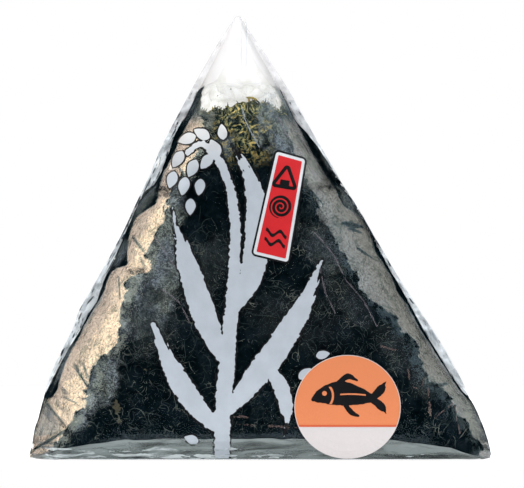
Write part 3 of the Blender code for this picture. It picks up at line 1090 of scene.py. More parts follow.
def lay_grain(rng, shape, spot, normal):
    """A grain's points, lying along a surface at a spot."""
    side = rng.normal(size=3)
    side = unit(side - normal * np.dot(side, normal))
    tilt = rng.uniform(-0.18, 0.18)
    long = side * math.cos(tilt) + normal * math.sin(tilt)
    up = unit(normal - long * np.dot(normal, long))
    size = np.array([rng.uniform(2.5, 3.1), rng.uniform(1.2, 1.42), rng.uniform(1.0, 1.2)])
    turned = (shape * size) @ np.stack([long, np.cross(up, long), up])
    here = turned + spot - normal * rng.uniform(0.15, 0.45)
    # pressed flat where it would reach the film, and tucked in behind the seaweed
    room = film_depth(here[:, 0], here[:, 2]) - 0.45 - 0.85 * step_between(78.0, 76.0, here[:, 2])
    room = np.maximum(room, 0.05)
    here[:, 1] = np.clip(here[:, 1], -room, room)
    here[:, 2] = np.minimum(here[:, 2], BALL_TOP + 0.9)
    return here


def make_rice_grains(material, core, film_tree):
    """Pressed grains over the ball's bare top, at their real size."""
    rng = np.random.default_rng(5)
    shape, shape_faces = grain_shape()
    tree = surface_tree(core)
    grains = Joined()
    placed = []
    for _ in range(2600):
        start, way = aim_at_core(rng)
        hit, normal, _, _ = tree.ray_cast(Vector(start) * MM, Vector(way))
        if hit is None:
            continue
        spot = np.array(hit) / MM
        if any(np.sum((spot - other) ** 2) < GRAIN_SPACING**2 for other in placed):
            continue
        placed.append(spot)
        normal = np.array(normal)
        if np.dot(normal, way) > 0:
            normal = -normal
        grains.add(lay_grain(rng, shape, spot, normal), shape_faces)
    points = keep_inside(grains.points(), film_tree, 0.25)
    return add_piece("rice_grains", points, grains.faces, material)


def ribbon(spine, width):
    """A flat strip along a line of points, tapering at both ends."""
    way = np.gradient(spine, axis=0)
    across = unit(np.stack([-way[:, 2], np.zeros(len(way)), way[:, 0]], axis=-1))
    taper = np.sin(np.linspace(0.12, math.pi - 0.12, len(spine))) ** 0.5
    reach = across * (width * taper)[:, None]
    n = len(spine)
    faces = [(i, i + 1, n + i + 1, n + i) for i in range(n - 1)]
    return np.concatenate([spine + reach, spine - reach]), faces


def make_fibres(material, seaweed):
    """Fine curved strands that lie on the seaweed, front and back."""
    rng = np.random.default_rng(8)
    tree = surface_tree(seaweed)
    density = Noise(51)
    fibres = Joined()
    for side, wanted in ((FRONT, 3700), (BACK, 1500)):
        made = 0
        while made < wanted:
            z = rng.uniform(3.0, 74.0)
            x = rng.uniform(left_edge(z) + 5.0, right_edge(z) - 5.0)
            crowd = 0.5 + 0.9 * float(density(x / 14.0, side * 9.0, z / 11.0))
            if rng.uniform() > max(0.08, crowd):
                continue
            made += 1
            length = rng.uniform(0.5, 1.7) if rng.uniform() < 0.82 else rng.uniform(2.0, 5.0)
            steps = max(4, int(length / 0.45))
            heading = rng.uniform(0, math.tau)
            bend = rng.normal(0.0, 0.28)
            width = rng.uniform(0.02, 0.045)
            spine = []
            for _ in range(steps + 1):
                y, _ = seen_from(side, tree, x, z)
                if y is None:
                    break
                spine.append((x, y + side * 0.07, z))
                heading += bend + rng.normal(0.0, 0.12)
                x += length / steps * math.cos(heading)
                z += length / steps * math.sin(heading)
            if len(spine) >= 4:
                fibres.add(*ribbon(np.array(spine), width))
    return add_piece("seaweed_fibres", fibres.points(), fibres.faces, material)


# ---------------------------------------------------------------- patches that lie on a surface


def march(field, x, z):
    """The part of a grid where the field is above 0: points (x, z) and faces, cut along the border."""
    rows, columns = field.shape
    inside = field > 0
    points, numbers, faces = [], {}, []

    def node(i, j):
        key = (i, j)
        if key not in numbers:
            numbers[key] = len(points)
            points.append((x[j], z[i]))
        return numbers[key]

    def border(a, b):
        key = (a, b) if a < b else (b, a)
        if key not in numbers:
            (i1, j1), (i2, j2) = key
            f1, f2 = field[i1, j1], field[i2, j2]
            t = min(max(f1 / (f1 - f2), 0.02), 0.98)
            numbers[key] = len(points)
            points.append((x[j1] + t * (x[j2] - x[j1]), z[i1] + t * (z[i2] - z[i1])))
        return numbers[key]

    count = inside[:-1, :-1].astype(int) + inside[1:, :-1] + inside[:-1, 1:] + inside[1:, 1:]
    for i, j in zip(*np.nonzero(count)):
        corners = [(i, j), (i, j + 1), (i + 1, j + 1), (i + 1, j)]
        outline = []
        for k in range(4):
            here, after = corners[k], corners[(k + 1) % 4]
            if inside[here]:
                outline.append(node(*here))
            if inside[here] != inside[after]:
                outline.append(border(here, after))
        if len(outline) >= 3:
            faces.append(tuple(outline))
    return np.array(points), faces


LEAST_FACING = 0.3  # surfaces steeper than this get no more lift


def lay_patch(name, tree, field, box, cell, lift, material, side=FRONT):
    """A thin patch on a surface, where field(x, z) is above 0 inside the box.

    lift is its distance from the surface, also where that falls away steeply.
    """
    x = np.arange(box[0], box[1] + cell, cell)
    z = np.arange(box[2], box[3] + cell, cell)
    flat, faces = march(field(*np.meshgrid(x, z)), x, z)
    points = []
    last = side * half_depth(20.0)
    for px, pz in flat:
        y, normal = seen_from(side, tree, px, pz)
        if y is not None:
            last = y + side * lift / max(abs(normal.y), LEAST_FACING)
        points.append((px, last, pz))
    if side == BACK:
        faces = [f[::-1] for f in faces]
    return add_piece(name, points, faces, material)


def polygon_field(x, z, corners):
    """Distance to a convex outline given anticlockwise, above 0 inside it."""
    inward, apart = None, None
    for (x1, z1), (x2, z2) in zip(corners, corners[1:] + corners[:1]):
        length = math.hypot(x2 - x1, z2 - z1)
        here = ((x2 - x1) * (z - z1) - (z2 - z1) * (x - x1)) / length
        away, _ = segment_distance(x, z, x1, z1, x2, z2)
        inward = here if inward is None else np.minimum(inward, here)
        apart = away if apart is None else np.minimum(apart, away)
    return np.where(inward > 0, inward, -apart)


bristle = Noise(61)


def brush_field(x, z, knots, dry=0.0, ragged=0.20):
    """A brush stroke through (x, z, half width) knots; its last part runs dry by the given share."""
    path = np.array(knots, float)
    lengths = np.concatenate([[0.0], np.cumsum(np.hypot(*np.diff(path[:, :2], axis=0).T))])
    fine = np.linspace(0.0, lengths[-1], 70)
    px, pz, width = (hermite(lengths, value, np.gradient(value, lengths))(fine) for value in path.T)
    reach = path[:, 2].max() + 1.5
    near = (x > px.min() - reach) & (x < px.max() + reach) & (z > pz.min() - reach) & (z < pz.max() + reach)
    nx, nz = x[near], z[near]
    best, share, aside = np.full(nx.shape, OUTSIDE), np.zeros(nx.shape), np.zeros(nx.shape)
    for k in range(len(fine) - 1):
        dx, dz = px[k + 1] - px[k], pz[k + 1] - pz[k]
        distance, t = segment_distance(nx, nz, px[k], pz[k], px[k + 1], pz[k + 1])
        value = width[k] + (width[k + 1] - width[k]) * t - distance
        better = value > best
        turn = np.sign((nx - px[k]) * dz - (nz - pz[k]) * dx)
        best = np.where(better, value, best)
        share = np.where(better, (fine[k] + t * (fine[k + 1] - fine[k])) / lengths[-1], share)
        aside = np.where(better, turn * distance, aside)
    best = best + ragged * bristle.layered(nx / 0.8, 3.0, nz / 0.8, 3, 0.7)
    if dry:
        tail = step_between(1.0 - dry, 1.0, share)
        hairs = bristle(aside / 0.34, 17.0 + knots[0][0], share * lengths[-1] / 4.5)
        best = best - tail * (0.25 + 1.1 * np.clip(hairs + 0.25, 0.0, 1.0)) * 0.9
    found = np.full(x.shape, OUTSIDE)
    found[near] = best
    return found


RIM_REACH = 0.9  # how far in from the seam the sheet's folded edge goes


def make_seaweed_rim(material, film_tree):
    """The sheet's folded edge, which shows as an uneven dark line inside each seam."""
    ragged = Noise(81)

    def rim(x, z):
        outward = 0.12 + 0.14 * ragged.layered(1.0, 4.0, z / 1.8, 3, 0.6)
        from_left, from_right = x - left_edge(z), right_edge(z) - x
        left = np.minimum(from_left - left_welded(z) + outward, left_seam(z) + RIM_REACH - from_left)
        right = np.minimum(from_right - right_welded(z) + outward, right_seam(z) + RIM_REACH - from_right)
        inside = np.minimum(from_left, from_right) - 0.15
        return np.minimum(inside, np.where(x < 0, left, right) - 2.0 * step_between(80.0, 81.0, z))

    lay_patch("seaweed_rim", film_tree, rim, (-49.0, 49.0, 6.0, 81.0), 0.25, -0.07, material)


# ---------------------------------------------------------------- the print on the film

# a rice plant in brush strokes: knots (x, z, half width), then the share that runs dry
PLANT_STROKES = (
    # the stem
    (((-8.2, 1.0, 1.5), (-7.6, 14.0, 1.7), (-6.4, 28.0, 1.5), (-5.4, 42.0, 1.2),
      (-5.6, 54.0, 1.0), (-8.6, 63.5, 0.8), (-12.6, 67.4, 0.6), (-15.6, 65.6, 0.5)), 0.0),
    # blades
    (((-6.9, 20.0, 0.9), (-10.5, 27.5, 2.3), (-14.2, 38.0, 2.4), (-17.4, 48.5, 1.2),
      (-18.6, 54.0, 0.3)), 0.45),
    (((-6.2, 31.0, 0.8), (-2.2, 38.5, 2.3), (-0.6, 49.0, 2.5), (-1.8, 59.5, 1.7), (-5.6, 67.0, 0.5)), 0.40),
    (((-7.4, 10.0, 1.0), (-1.6, 17.0, 2.3), (5.4, 26.5, 2.5), (11.0, 37.0, 1.5), (13.0, 42.5, 0.5)), 0.45),
    (((-8.0, 6.0, 0.9), (-13.4, 11.5, 2.1), (-19.0, 20.5, 1.9), (-22.8, 29.0, 0.7)), 0.5),
    (((0.6, 20.4, 0.8), (4.0, 16.6, 1.5), (5.6, 10.6, 1.3), (5.0, 5.5, 0.4)), 0.5),
)
# the hanging ear: where each grain sits, its direction in degrees and its length
EAR_GRAINS = (
    (-9.6, 66.6, 118, 4.0), (-12.4, 69.6, 150, 3.8), (-15.6, 68.6, 196, 4.0), (-11.4, 63.6, 232, 3.8),
    (-14.4, 62.2, 246, 4.0), (-17.6, 64.2, 238, 4.0), (-16.2, 58.4, 258, 4.0), (-12.8, 58.2, 262, 3.6),
    (-18.8, 59.8, 254, 3.8), (-8.0, 70.0, 96, 3.4), (-14.8, 54.0, 268, 3.6),
)
LOOSE_GRAINS = ((9.6, 18.6, 40, 3.4), (13.4, 22.6, 12, 3.0), (-14.6, 4.6, 160, 3.2))
PLANT_BOX = (-25.0, 16.0, 0.4, 74.0)
INK_OUTLINE = 0.36  # the dark edge's width round the plant


def grain_field(x, z, px, pz, degrees, length):
    """A grain of rice: a drop that tapers towards its tip."""
    a = math.radians(degrees)
    along = (x - px) * math.cos(a) + (z - pz) * math.sin(a)
    across = -(x - px) * math.sin(a) + (z - pz) * math.cos(a)
    s = np.clip(along / length + 0.5, 0.0, 1.0)
    half = 0.30 * length * np.sin(math.pi * s**0.8) ** 0.8
    beyond = np.maximum(np.abs(along) - length / 2, 0.0)
    return half - np.abs(across) - beyond + 0.05 * bristle(x / 0.5, 9.0, z / 0.5)


def plant_field(x, z):
    strokes = [brush_field(x, z, *stroke) for stroke in PLANT_STROKES]
    grains = [grain_field(x, z, *grain) for grain in EAR_GRAINS + LOOSE_GRAINS]
    return np.maximum.reduce(strokes + grains)


# the red tab: its field's corners, lower left first and anticlockwise
TAB_CORNERS = [(-0.75, 44.5), (5.45, 43.0), (8.95, 63.7), (3.95, 65.05)]
TAB_BORDER, TAB_LINE = 0.62, 0.42
TAB_BOX = (-3.0, 11.0, 41.0, 67.5)


def tab_place(x, z):
    """Places on the tab as (across, up) from its middle, turned upright."""
    lean = math.atan2(3.7, 22.0)
    dx, dz = x - 4.4, z - 54.0
    return dx * math.cos(lean) - dz * math.sin(lean), dx * math.sin(lean) + dz * math.cos(lean)


def tab_emblem_field(x, z):
    """Three plain signs, one above the other: a rice ball, a rolled sheet and a pair of waves."""
    u, v = tab_place(x, z)
    ball = polygon_field(u, v - 6.6, [(-1.9, -1.9), (1.9, -1.9), (0.0, 1.6)]) + 0.75
    band = polygon_field(u, v - 6.6, [(-1.0, -3.4), (1.0, -3.4), (1.0, -0.8), (-1.0, -0.8)])
    ball = np.maximum(0.36 - np.abs(ball - 0.36), np.minimum(band, ball))
    r = np.hypot(u, v)
    turn = np.arctan2(v, u)
    arm = (r - 0.55 - 0.92 * (turn + math.pi) / math.tau) / 0.92
    roll = 0.31 - np.abs(arm - np.round(arm)) * 0.92
    roll = np.minimum(roll, 2.45 - r)
    crest = 0.55 * np.sin(u * 2.1)
    waves = np.maximum(0.38 - np.abs(v + 5.7 - crest), 0.38 - np.abs(v + 7.7 - crest))
    waves = np.minimum(waves, 2.3 - np.abs(u))
    return np.maximum(np.maximum(ball, roll), waves)


def grown(field, width):
    """A field whose shape reaches further out all round."""
    return lambda x, z: field(x, z) + width


def tab_field(x, z):
    return polygon_field(x, z, TAB_CORNERS)


def make_print(film_tree, white, tab_white, black, red):
    outline = grown(plant_field, INK_OUTLINE)
    for name, field, box, cell, lift, material, slot in (
        ("print_outline", outline, PLANT_BOX, 0.20, 0.05, black, "print_black"),
        ("print_plant", plant_field, PLANT_BOX, 0.20, 0.09, white, "print_white"),
        ("tab_outline", grown(tab_field, TAB_LINE + TAB_BORDER), TAB_BOX, 0.22, 0.12, black, "print_black"),
        ("tab_border", grown(tab_field, TAB_BORDER), TAB_BOX, 0.22, 0.16, tab_white, "print_white"),
        ("tab_field", tab_field, TAB_BOX, 0.22, 0.20, red, "print_red"),
        ("tab_emblems", tab_emblem_field, TAB_BOX, 0.16, 0.24, black, "print_black"),
    ):
        lay_patch(name, film_tree, field, box, cell, lift, material)


# ---------------------------------------------------------------- the round label

PRINT_INSET = 0.14
DIVIDER_HEIGHT = -4.0  # under the label's middle
DIVIDER_HALF = 0.22
# brush strokes of a fish, about the label's middle: knots, the share that runs dry, raggedness
FISH_STROKES = (
    (((-7.4, 1.6, 0.35), (-5.2, 2.4, 1.6), (-1.6, 2.9, 2.55), (2.4, 2.3, 1.8), (5.6, 1.7, 0.6)), 0.0, 0.06),
    (((5.0, 1.8, 0.5), (6.8, 3.4, 0.9), (8.2, 5.4, 0.25)), 0.3, 0.06),
    (((5.0, 1.6, 0.5), (6.9, 0.4, 0.85), (8.3, -1.5, 0.25)), 0.3, 0.06),
    (((-2.2, 5.0, 0.4), (0.2, 6.5, 0.6), (2.0, 5.7, 0.2)), 0.0, 0.05),
    (((-0.6, 0.6, 0.4), (0.9, -1.2, 0.55), (2.3, -1.9, 0.2)), 0.0, 0.05),
)


def fish_field(x, z):
    """The fish's strokes less its eye, its gill and a line along its side."""
    found = np.maximum.reduce([brush_field(x, z, *stroke) for stroke in FISH_STROKES])
    eye = np.hypot(x + 4.9, z - 2.9) - 0.52
    gill = np.abs(np.hypot(x + 6.2, z - 2.4) - 3.1) - 0.24
    gill = np.where((np.abs(z - 2.5) < 1.9) & (x > -5.0), gill, -OUTSIDE)
    line = np.abs(z - 2.75 + 0.02 * (x - 0.6) ** 2) - 0.17
    line = np.where((x > -1.6) & (x < 4.0), line, -OUTSIDE)
    return np.minimum(np.minimum(found, eye), np.minimum(gill, line))


def make_label(paper, orange, divider_ink, black):
    """Paper, coloured field, divider and fish on the label's own solid."""
    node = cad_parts["flavour_label"]
    node.data.materials.clear()
    node.data.materials.append(paper)
    low, high = (Vector(corner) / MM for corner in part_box("flavour_label"))
    cx, cz = (low.x + high.x) / 2, (low.z + high.z) / 2
    half_wide, half_tall = (high.x - low.x) / 2, (high.z - low.z) / 2
    box = (low.x - 0.2, high.x + 0.2, low.z - 0.2, high.z + 0.2)
    tree = surface_tree(node)

    def printed(x, z):
        return (1.0 - np.hypot((x - cx) / half_wide, (z - cz) / half_tall)) * half_tall - PRINT_INSET

    def field(x, z):
        return np.minimum(printed(x, z), z - cz - DIVIDER_HEIGHT)

    def divider(x, z):
        return np.minimum(printed(x, z), DIVIDER_HALF - np.abs(z - cz - DIVIDER_HEIGHT))

    def fish(x, z):
        return fish_field(x - cx, z - cz)

    lay_patch("label_field", tree, field, box, 0.3, 0.03, orange)
    lay_patch("label_divider", tree, divider, box, 0.15, 0.05, divider_ink)
    lay_patch("label_fish", tree, fish, box, 0.16, 0.06, black)


# ---------------------------------------------------------------- doubled film

# creases on the front, each through (x, z) places
TOP_CREASES = (((-3.7, 75.0), (-3.2, 72.6), (-2.5, 71.1), (-1.1, 68.5), (-0.2, 66.8)),)
# pale lines along creases on the front, each through (x, z) places: painted highlights where the folds catch
# light
CREASE_GLINTS = (
    ((11.4, 48.7), (13.6, 46.4), (15.7, 43.8), (17.0, 41.0), (18.3, 38.4), (22.0, 34.1), (24.8, 28.7)),
    ((-20.6, 36.4), (-17.2, 33.8), (-15.0, 29.6)), ((-22.6, 48.0), (-17.6, 40.6)),
    ((3.8, 73.6), (5.2, 70.2), (8.8, 65.4), (12.0, 60.0)), ((7.6, 72.4), (9.0, 68.4), (12.6, 63.0)),
    ((12.6, 41.8), (13.8, 36.0), (16.0, 31.4)),
)
# reddish lines on the front, each through (x, z) places: painted red glints
RED_GLINT_CREASES = (
    ((25.9, 24.4), (28.4, 23.6), (30.8, 24.2)), ((31.4, 19.6), (32.0, 16.0), (34.4, 15.0), (35.0, 19.2)),
    ((35.8, 15.6), (36.0, 12.4), (36.2, 8.6), (41.0, 12.2)), ((41.6, 11.6), (41.9, 8.6), (42.4, 6.0)),
    ((-11.6, 8.7), (-3.0, 7.7), (8.0, 7.2)), ((-10.0, 9.7), (-2.6, 9.3)),
)

wobble = Noise(71)


def edge_side(side):
    """The outline, the seam, its weld, the way inwards and the rows of noise on the left or right."""
    if side == "left":
        return left_edge, left_seam, left_welded, 1.0, (1.0, 3.0)
    return right_edge, right_seam, right_welded, -1.0, (5.0, 9.0)


def seal_field(side):
    """The welded film along one side."""
    edge, _, welded, inwards, (inner_row, outer_row) = edge_side(side)

    def field(x, z):
        inner = edge(z) + inwards * (welded(z) + 0.12 * wobble(inner_row, 2.0, z / 1.6))
        nick = 0.25 * np.clip(wobble(outer_row, 8.0, z / 1.1), 0.0, 1.0)
        outer = edge(z) + inwards * (0.05 + nick)
        return np.minimum(inwards * (inner - x), inwards * (x - outer))

    return field


def facet_field(side, *knots):
    """The doubled film beside the peak, as wide as the knots say; below that it stays on the seam."""
    edge, seam, _, inwards, _ = edge_side(side)
    reach = smooth_curve(*knots)

    def field(x, z):
        widest = seam(z) - 0.1 + 4.0 * step_between(79.0, 82.0, z)
        from_edge = inwards * (x - edge(z))
        return np.minimum(np.minimum(reach(z), widest) - from_edge, from_edge - 0.1)

    return field


def base_fold(x, z):
    crease = base_crease(np.abs(x - CREASE_MIDDLE))
    return np.minimum(crease - 0.15 + 0.18 * wobble(x / 2.4, 12.0, 1.0) - z, 49.7 - np.abs(x))


def base_ridge(x, z):
    """Pale wisps along the base, stronger at the left; each is (height, least half width)."""
    swelling = 0.16 * step_between(8.0, -18.0, x) - 0.10 * step_between(4.0, 14.0, x)
    swelling = swelling - 0.14 * step_between(16.0, 24.0, x)
    found = np.full(x.shape, OUTSIDE)
    for number, (height, least) in enumerate(((1.2, 0.05), (0.5, -0.03), (2.2, -0.14))):
        row = 31.0 + 7.0 * number
        middle = height + 0.40 * wobble(x / 7.0, row, 2.0) + 0.14 * wobble(x / 1.7, row, 9.0)
        thick = least + 0.26 * wobble.layered(x / 3.2, row, 17.0, 3, 0.6) + swelling
        found = np.maximum(found, thick + 0.06 * wobble(x / 0.5, row, z / 0.3) - np.abs(z - middle))
    return np.minimum(found, 46.0 - np.abs(x))


def crease_field(paths, half_width, rough=0.10):
    def field(x, z):
        found = np.full(x.shape, OUTSIDE)
        for path in paths:
            for start, end in zip(path, path[1:]):
                distance, _ = segment_distance(x, z, *start, *end)
                found = np.maximum(found, half_width - distance)
        return found + rough * wobble.layered(x / 1.1, 61.0, z / 1.1, 3, 0.7)

    return field


def crimps(x, z):
    """Short pale dashes in the dark line beside the narrow welds."""
    from_edge = np.minimum(x - left_edge(z), right_edge(z) - x)
    side = np.where(x < 0, 0.0, 7.0)
    thick = 0.27 * np.clip(0.1 + 2.4 * wobble(side, 91.0, z / 0.6), 0.0, 1.0)
    seam = np.where(x < 0, left_seam(z), right_seam(z))
    middle = np.minimum(0.48 + 0.36 * wobble(side, 95.0, z / 1.5), np.maximum(seam - 0.25, 0.18))
    left_narrow = step_between(43.0, 46.0, z) * step_between(60.0, 57.0, z)
    right_narrow = step_between(37.0, 41.0, z) * step_between(64.0, 60.0, z)
    narrow = np.where(x < 0, left_narrow, right_narrow)
    return thick * narrow - np.abs(from_edge - middle) - 0.02


def seam_lines(x, z):
    """Painted shade: dark lengthwise creases in the welded film, and a dark hairline along the outline
    elsewhere.
    """
    width = np.where(x < 0, left_welded(z), right_welded(z))
    from_edge = np.where(x < 0, x - left_edge(z), right_edge(z) - x)
    lane = from_edge / 0.26 + 1.2 * wobble(3.0, 103.0, z / 4.0)
    hairs = wobble.layered(lane, np.where(x < 0, 111.0, 117.0), z / 1.9, 2, 0.6)
    fewer = 0.55 + 0.2 * np.where(x < 0, step_between(30.0, 22.0, z), 1.0)
    dashes = np.minimum(0.26 * (hairs - fewer), np.minimum(from_edge - 0.12, width - from_edge + 0.1))
    outline = 0.07 + 0.09 * wobble(13.0, 121.0, z / 1.4) - np.abs(from_edge - 0.2)
    on_weld = step_between(12.0, 15.0, z) * step_between(46.0, 43.0, z) + step_between(56.0, 59.0, z)
    return np.maximum(dashes, outline - on_weld)


def tear_strip(x, z):
    return 0.5 - np.abs(x + 3.55 - 0.012 * (z - 80.0))


def tear_edges(x, z):
    return 0.07 - np.abs(tear_strip(x, z))


left_facet = facet_field("left", (70, 0.5), (76, 3.0), (82, 4.6), (90, 3.6), (95, 1.2))
right_facet = facet_field("right", (68, 0.4), (74, 2.6), (84, 3.4), (91, 3.0), (95, 1.0))
crease_glints = crease_field(CREASE_GLINTS, 0.13)
red_glint_creases = crease_field(RED_GLINT_CREASES, 0.06, 0.24)
top_crease = crease_field(TOP_CREASES, 0.17)


def veiled(name, tint, mirror, rough, share, milk, streaks=None):
    return film_material(name, tint, mirror, rough, (share, milk), streaks)


def make_film_layers(film_tree):
    """Doubled film: the welded seams, the base's fold, the peak's facets, creases and tear strip; the fine
    creases' pale lines, the pinkish lines and the seams' dark lines are painted highlights, glints and
    shade.
    """
    flap = veiled("flap_film", (0.985, 0.985, 0.99), 0.01, 0.1, 0.5, (0.93, 0.93, 0.95))
    seam_tint, seam_milk = (0.91, 0.93, 0.955), (0.88, 0.95, 1.0)
    left_streaks, right_streaks = (62.0, (0.50, 0.55, 0.59), 1300.0), (120.0, (0.56, 0.61, 0.64), 1500.0)
    left_look = veiled("left_seam_film", seam_tint, 0.08, 0.08, 0.92, seam_milk, left_streaks)
    right_look = veiled("right_seam_film", seam_tint, 0.08, 0.08, 0.72, seam_milk, right_streaks)
    base_streaks, ridge_streaks = (2.0, (0.62, 0.68, 0.68), 500.0), (4.0, (0.7, 0.76, 0.78), 900.0)
    # the base's folded film: milky from its layers, and its veil is also painted light that brightens the
    # band facing the floor
    base = veiled("base_film", (0.9, 0.93, 0.93), 0.08, 0.08, 0.22, (0.52, 0.61, 0.61), base_streaks)
    ridge = veiled("ridge_film", (0.96, 0.97, 0.97), 0.10, 0.08, 0.38, (0.72, 0.80, 0.83), ridge_streaks)
    fine = veiled("crease_film", (0.9, 0.9, 0.92), 0.02, 0.1, 0.13, (0.62, 0.55, 0.64))
    red_glint = veiled("red_glint_crease_film", (0.9, 0.88, 0.88), 0.02, 0.1, 0.13, (0.58, 0.42, 0.40))
    dark = veiled("dark_crease_film", (0.16, 0.20, 0.24), 0.04, 0.1, 0.2, (0.08, 0.10, 0.12))
    top = veiled("top_crease_film", (0.9, 0.93, 0.95), 0.02, 0.1, 0.30, (0.62, 0.70, 0.76))
    strip = veiled("tear_film", (0.99, 0.99, 0.99), 0.03, 0.1, 0.35, (1.0, 1.0, 1.0))

    def layer(name, field, box, cell, lift, look, side=FRONT):
        lay_patch(name, film_tree, field, box, cell, lift, look, side)

    for side, label in ((FRONT, "front"), (BACK, "back")):
        for name, field, box, look in (
            ("left_seal", seal_field("left"), (-50.0, -14.0, 12.0, 77.0), left_look),
            ("right_seal", seal_field("right"), (6.0, 50.0, 12.0, 77.0), right_look),
            ("base_fold", base_fold, (-50.0, 50.0, 0.15, 5.2), base),
        ):
            layer(f"{name}_{label}", field, box, 0.3, 0.05, look, side)
    for name, field, box, cell, lift, look in (
        ("base_ridge", base_ridge, (-47.5, 47.5, 0.12, 3.4), 0.14, 0.09, ridge),
        ("left_facet", left_facet, (-23.0, -4.0, 70.0, 94.8), 0.3, 0.09, flap),
        ("right_facet", right_facet, (-5.0, 13.0, 68.0, 94.8), 0.3, 0.09, flap),
        ("crease_glints", crease_glints, (-26.0, 41.0, 3.0, 75.0), 0.12, 0.05, fine),
        ("red_glint_creases", red_glint_creases, (-26.0, 44.0, 3.0, 27.0), 0.12, 0.05, red_glint),
        ("top_crease", top_crease, (-6.0, 2.0, 65.0, 76.5), 0.12, 0.05, top),
        ("crimped_edges", crimps, (-34.0, 30.0, 37.0, 64.0), 0.12, 0.06, flap),
        ("seam_creases", seam_lines, (-50.0, 50.0, 0.6, 79.0), 0.12, 0.09, dark),
        ("tear_edges_front", tear_edges, (-5.2, -2.0, 84.0, 93.8), 0.1, 0.17, top),
        ("tear_strip_front", tear_strip, (-5.2, -2.0, 80.8, 94.6), 0.25, 0.14, strip),
    ):
        layer(name, field, box, cell, lift, look)
    layer("tear_strip_back", tear_strip, (-5.2, -2.0, 1.5, 94.6), 0.25, 0.14, strip, BACK)


# ---------------------------------------------------------------- build


def build():
    film = make_film(film_material("clear_film", (0.985, 0.985, 0.988), fog=0.46))
    film_tree = surface_tree(film)

    seaweed_look = seaweed_material()
    seaweed, top_edge = make_seaweed(seaweed_look, film_tree)
    make_fibres(fibre_material(), seaweed)
    make_fringe(fringe_material(), top_edge, film_tree)
    make_flakes(paper_material("seaweed_flake", (0.05, 0.047, 0.03), 0.6), seaweed)
    rice = rice_material()
    core = make_rice_core(rice)
    make_rice_grains(rice, core, film_tree)
    make_film_layers(film_tree)
    make_seaweed_rim(seaweed_look, film_tree)

    white = ink_material("print_white", (0.44, 0.492, 0.552), 0.5, 0.05, (0.70, 0.715, 0.73))
    black = ink_material("print_black", (0.006, 0.007, 0.009), 0.5, 0.2)
    red = ink_material("print_red", (0.60, 0.020, 0.026), 0.45, 0.05)
    tab_white = ink_material("tab_white", (0.66, 0.69, 0.73), 0.5, 0.03)
    make_print(film_tree, white, tab_white, black, red)

    orange = paper_material("label_orange", (0.727, 0.236, 0.10), 0.45)
    divider_ink = paper_material("label_divider", (0.62, 0.12, 0.05), 0.45)
    make_label(paper_material("label_paper", (0.645, 0.612, 0.62)), orange, divider_ink, black)


build()


# ---------------------------------------------------------------- light

PART_MIDDLE = Vector((0.0, 0.0, 0.045))


def add_card(name, place, width, height, radiance, color, across=None, diffuse=False, glossy=True):
    """A rectangular light, given by how bright it looks.

    It looks along X (across is 1 or -1) and a little down, or at the part where across is None.
    """
    data = bpy.data.lights.new(name, "AREA")
    data.shape = "RECTANGLE"
    data.size, data.size_y = width, height
    data.energy = radiance * math.pi * width * height
    data.color = color
    card = add_to_scene(name, data)
    card.location = place
    way = Vector((across, 0.0, -0.2)) if across else PART_MIDDLE - Vector(place)
    card.rotation_euler = way.to_track_quat("-Z", "Y").to_euler()
    card.visible_camera = False
    card.visible_diffuse = diffuse
    card.visible_glossy = glossy


# each side mirrors a near card and a dimmer one further back, both out of the camera's sight
add_card("left_front_card", (-0.48, -0.33, 0.14), 0.92, 0.60, 3.38, (1.0, 0.80, 0.57), 1.0)
add_card("left_rear_card", (-0.48, 0.48, 0.14), 0.70, 0.60, 2.0, (1.0, 0.83, 0.68), 1.0)
add_card("left_haze_card", (-0.43, -0.83, 0.16), 0.10, 0.50, 0.5, (0.86, 1.0, 0.95))
add_card("right_front_card", (0.44, -0.24, 0.20), 0.66, 0.60, 0.74, (0.92, 1.0, 1.0), -1.0)
add_card("right_rear_card", (0.44, 0.42, 0.20), 0.66, 0.60, 0.75, (0.97, 1.0, 0.93), -1.0)
add_card("top_light", (-0.05, -0.12, 0.75), 0.5, 0.3, 5.0, WHITE, diffuse=True, glossy=False)
add_card("front_fill", (0.0, -0.75, 0.45), 1.5, 0.4, 2.9, WHITE, diffuse=True, glossy=False)

# how bright the surroundings look in the film, from the front (0) to the back (1)
MIRRORED = (
    (0.0, 0.012), (0.05, 0.015), (0.16, 0.07), (0.30, 0.22), (0.60, 0.22), (0.68, 0.02), (1.0, 0.02),
)


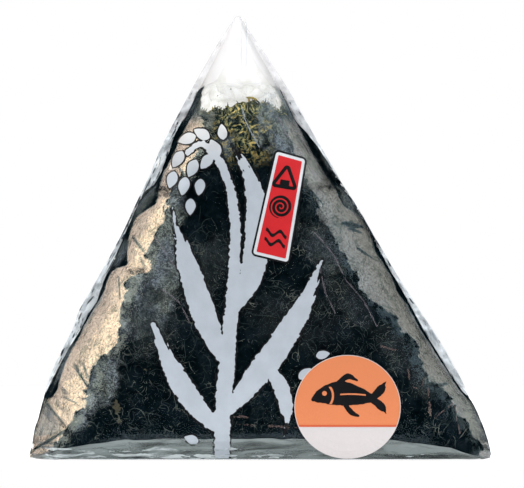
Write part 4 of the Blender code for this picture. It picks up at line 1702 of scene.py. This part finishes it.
def make_world():
    """White behind the part; what the film mirrors is dark in front and at the back's sides."""
    world = bpy.data.worlds.new("studio")
    bpy.context.scene.world = world
    sky = Nodes(world)
    sky.nodes.clear()
    way = sky.add("SeparateXYZ", {0: sky.add("TexCoord").outputs["Generated"]}).outputs
    stops = [(position, (value * 0.88, value * 0.97, value)) for position, value in MIRRORED]
    around = sky.ramp(sky.remap(way["Y"], -1.0, 1.0), *stops)
    ceiling = sky.remap(way["Z"], 0.55, 0.72, 0.0, 0.24)
    mirrored = sky.add("Background", {"Color": sky.blend(1.0, around, ceiling, "LIGHTEN")})
    lighting = sky.add("Background", {"Color": sky.remap(way["Y"], -0.3, 0.5, 0.46, 0.95)})
    seen = sky.add("Background", {"Color": WHITE})
    path = sky.add("LightPath").outputs
    lit = sky.mix(path["Is Glossy Ray"], lighting, mirrored)
    surface = sky.mix(path["Is Camera Ray"], lit, seen)
    sky.add("OutputWorld", {"Surface": surface.outputs[0]})


make_world()


# ---------------------------------------------------------------- floor and camera

floor_mesh = bpy.data.meshes.new("floor")
floor_corners = [(-0.5, -0.05, 0), (0.5, -0.05, 0), (0.5, 0.6, 0), (-0.5, 0.6, 0)]
floor_mesh.from_pydata(floor_corners, [], [(0, 1, 2, 3)])
floor = add_to_scene("floor", floor_mesh)
floor.location.z = -0.0003
floor_look = Look("floor")
floor_rays = floor_look.add("LightPath").outputs
glow = floor_look.math("MULTIPLY_ADD", floor_rays["Is Diffuse Ray"], 0.5, floor_rays["Is Camera Ray"])
floor_look.set(Base_Color=(0.6, 0.6, 0.6), Roughness=0.9, Emission_Color=WHITE, Emission_Strength=glow)
floor_mesh.materials.append(floor_look.material)

CAMERA_DISTANCE = 1.2
CAMERA_X, CAMERA_HEIGHT = 0.00043, 0.04612
VIEW_WIDTH = 0.11293  # what the frame takes in at the part
SENSOR_WIDTH = 36.0
camera_data = bpy.data.cameras.new("camera")
camera_data.sensor_width = SENSOR_WIDTH
camera_data.lens = SENSOR_WIDTH * CAMERA_DISTANCE / VIEW_WIDTH
camera_data.clip_start, camera_data.clip_end = 0.05, 10
camera = add_to_scene("camera", camera_data)
camera.location = (CAMERA_X, -CAMERA_DISTANCE, CAMERA_HEIGHT)
camera.rotation_euler = (math.pi / 2, 0, 0)
bpy.context.scene.camera = camera

bpy.context.scene.view_settings.view_transform = "Standard"
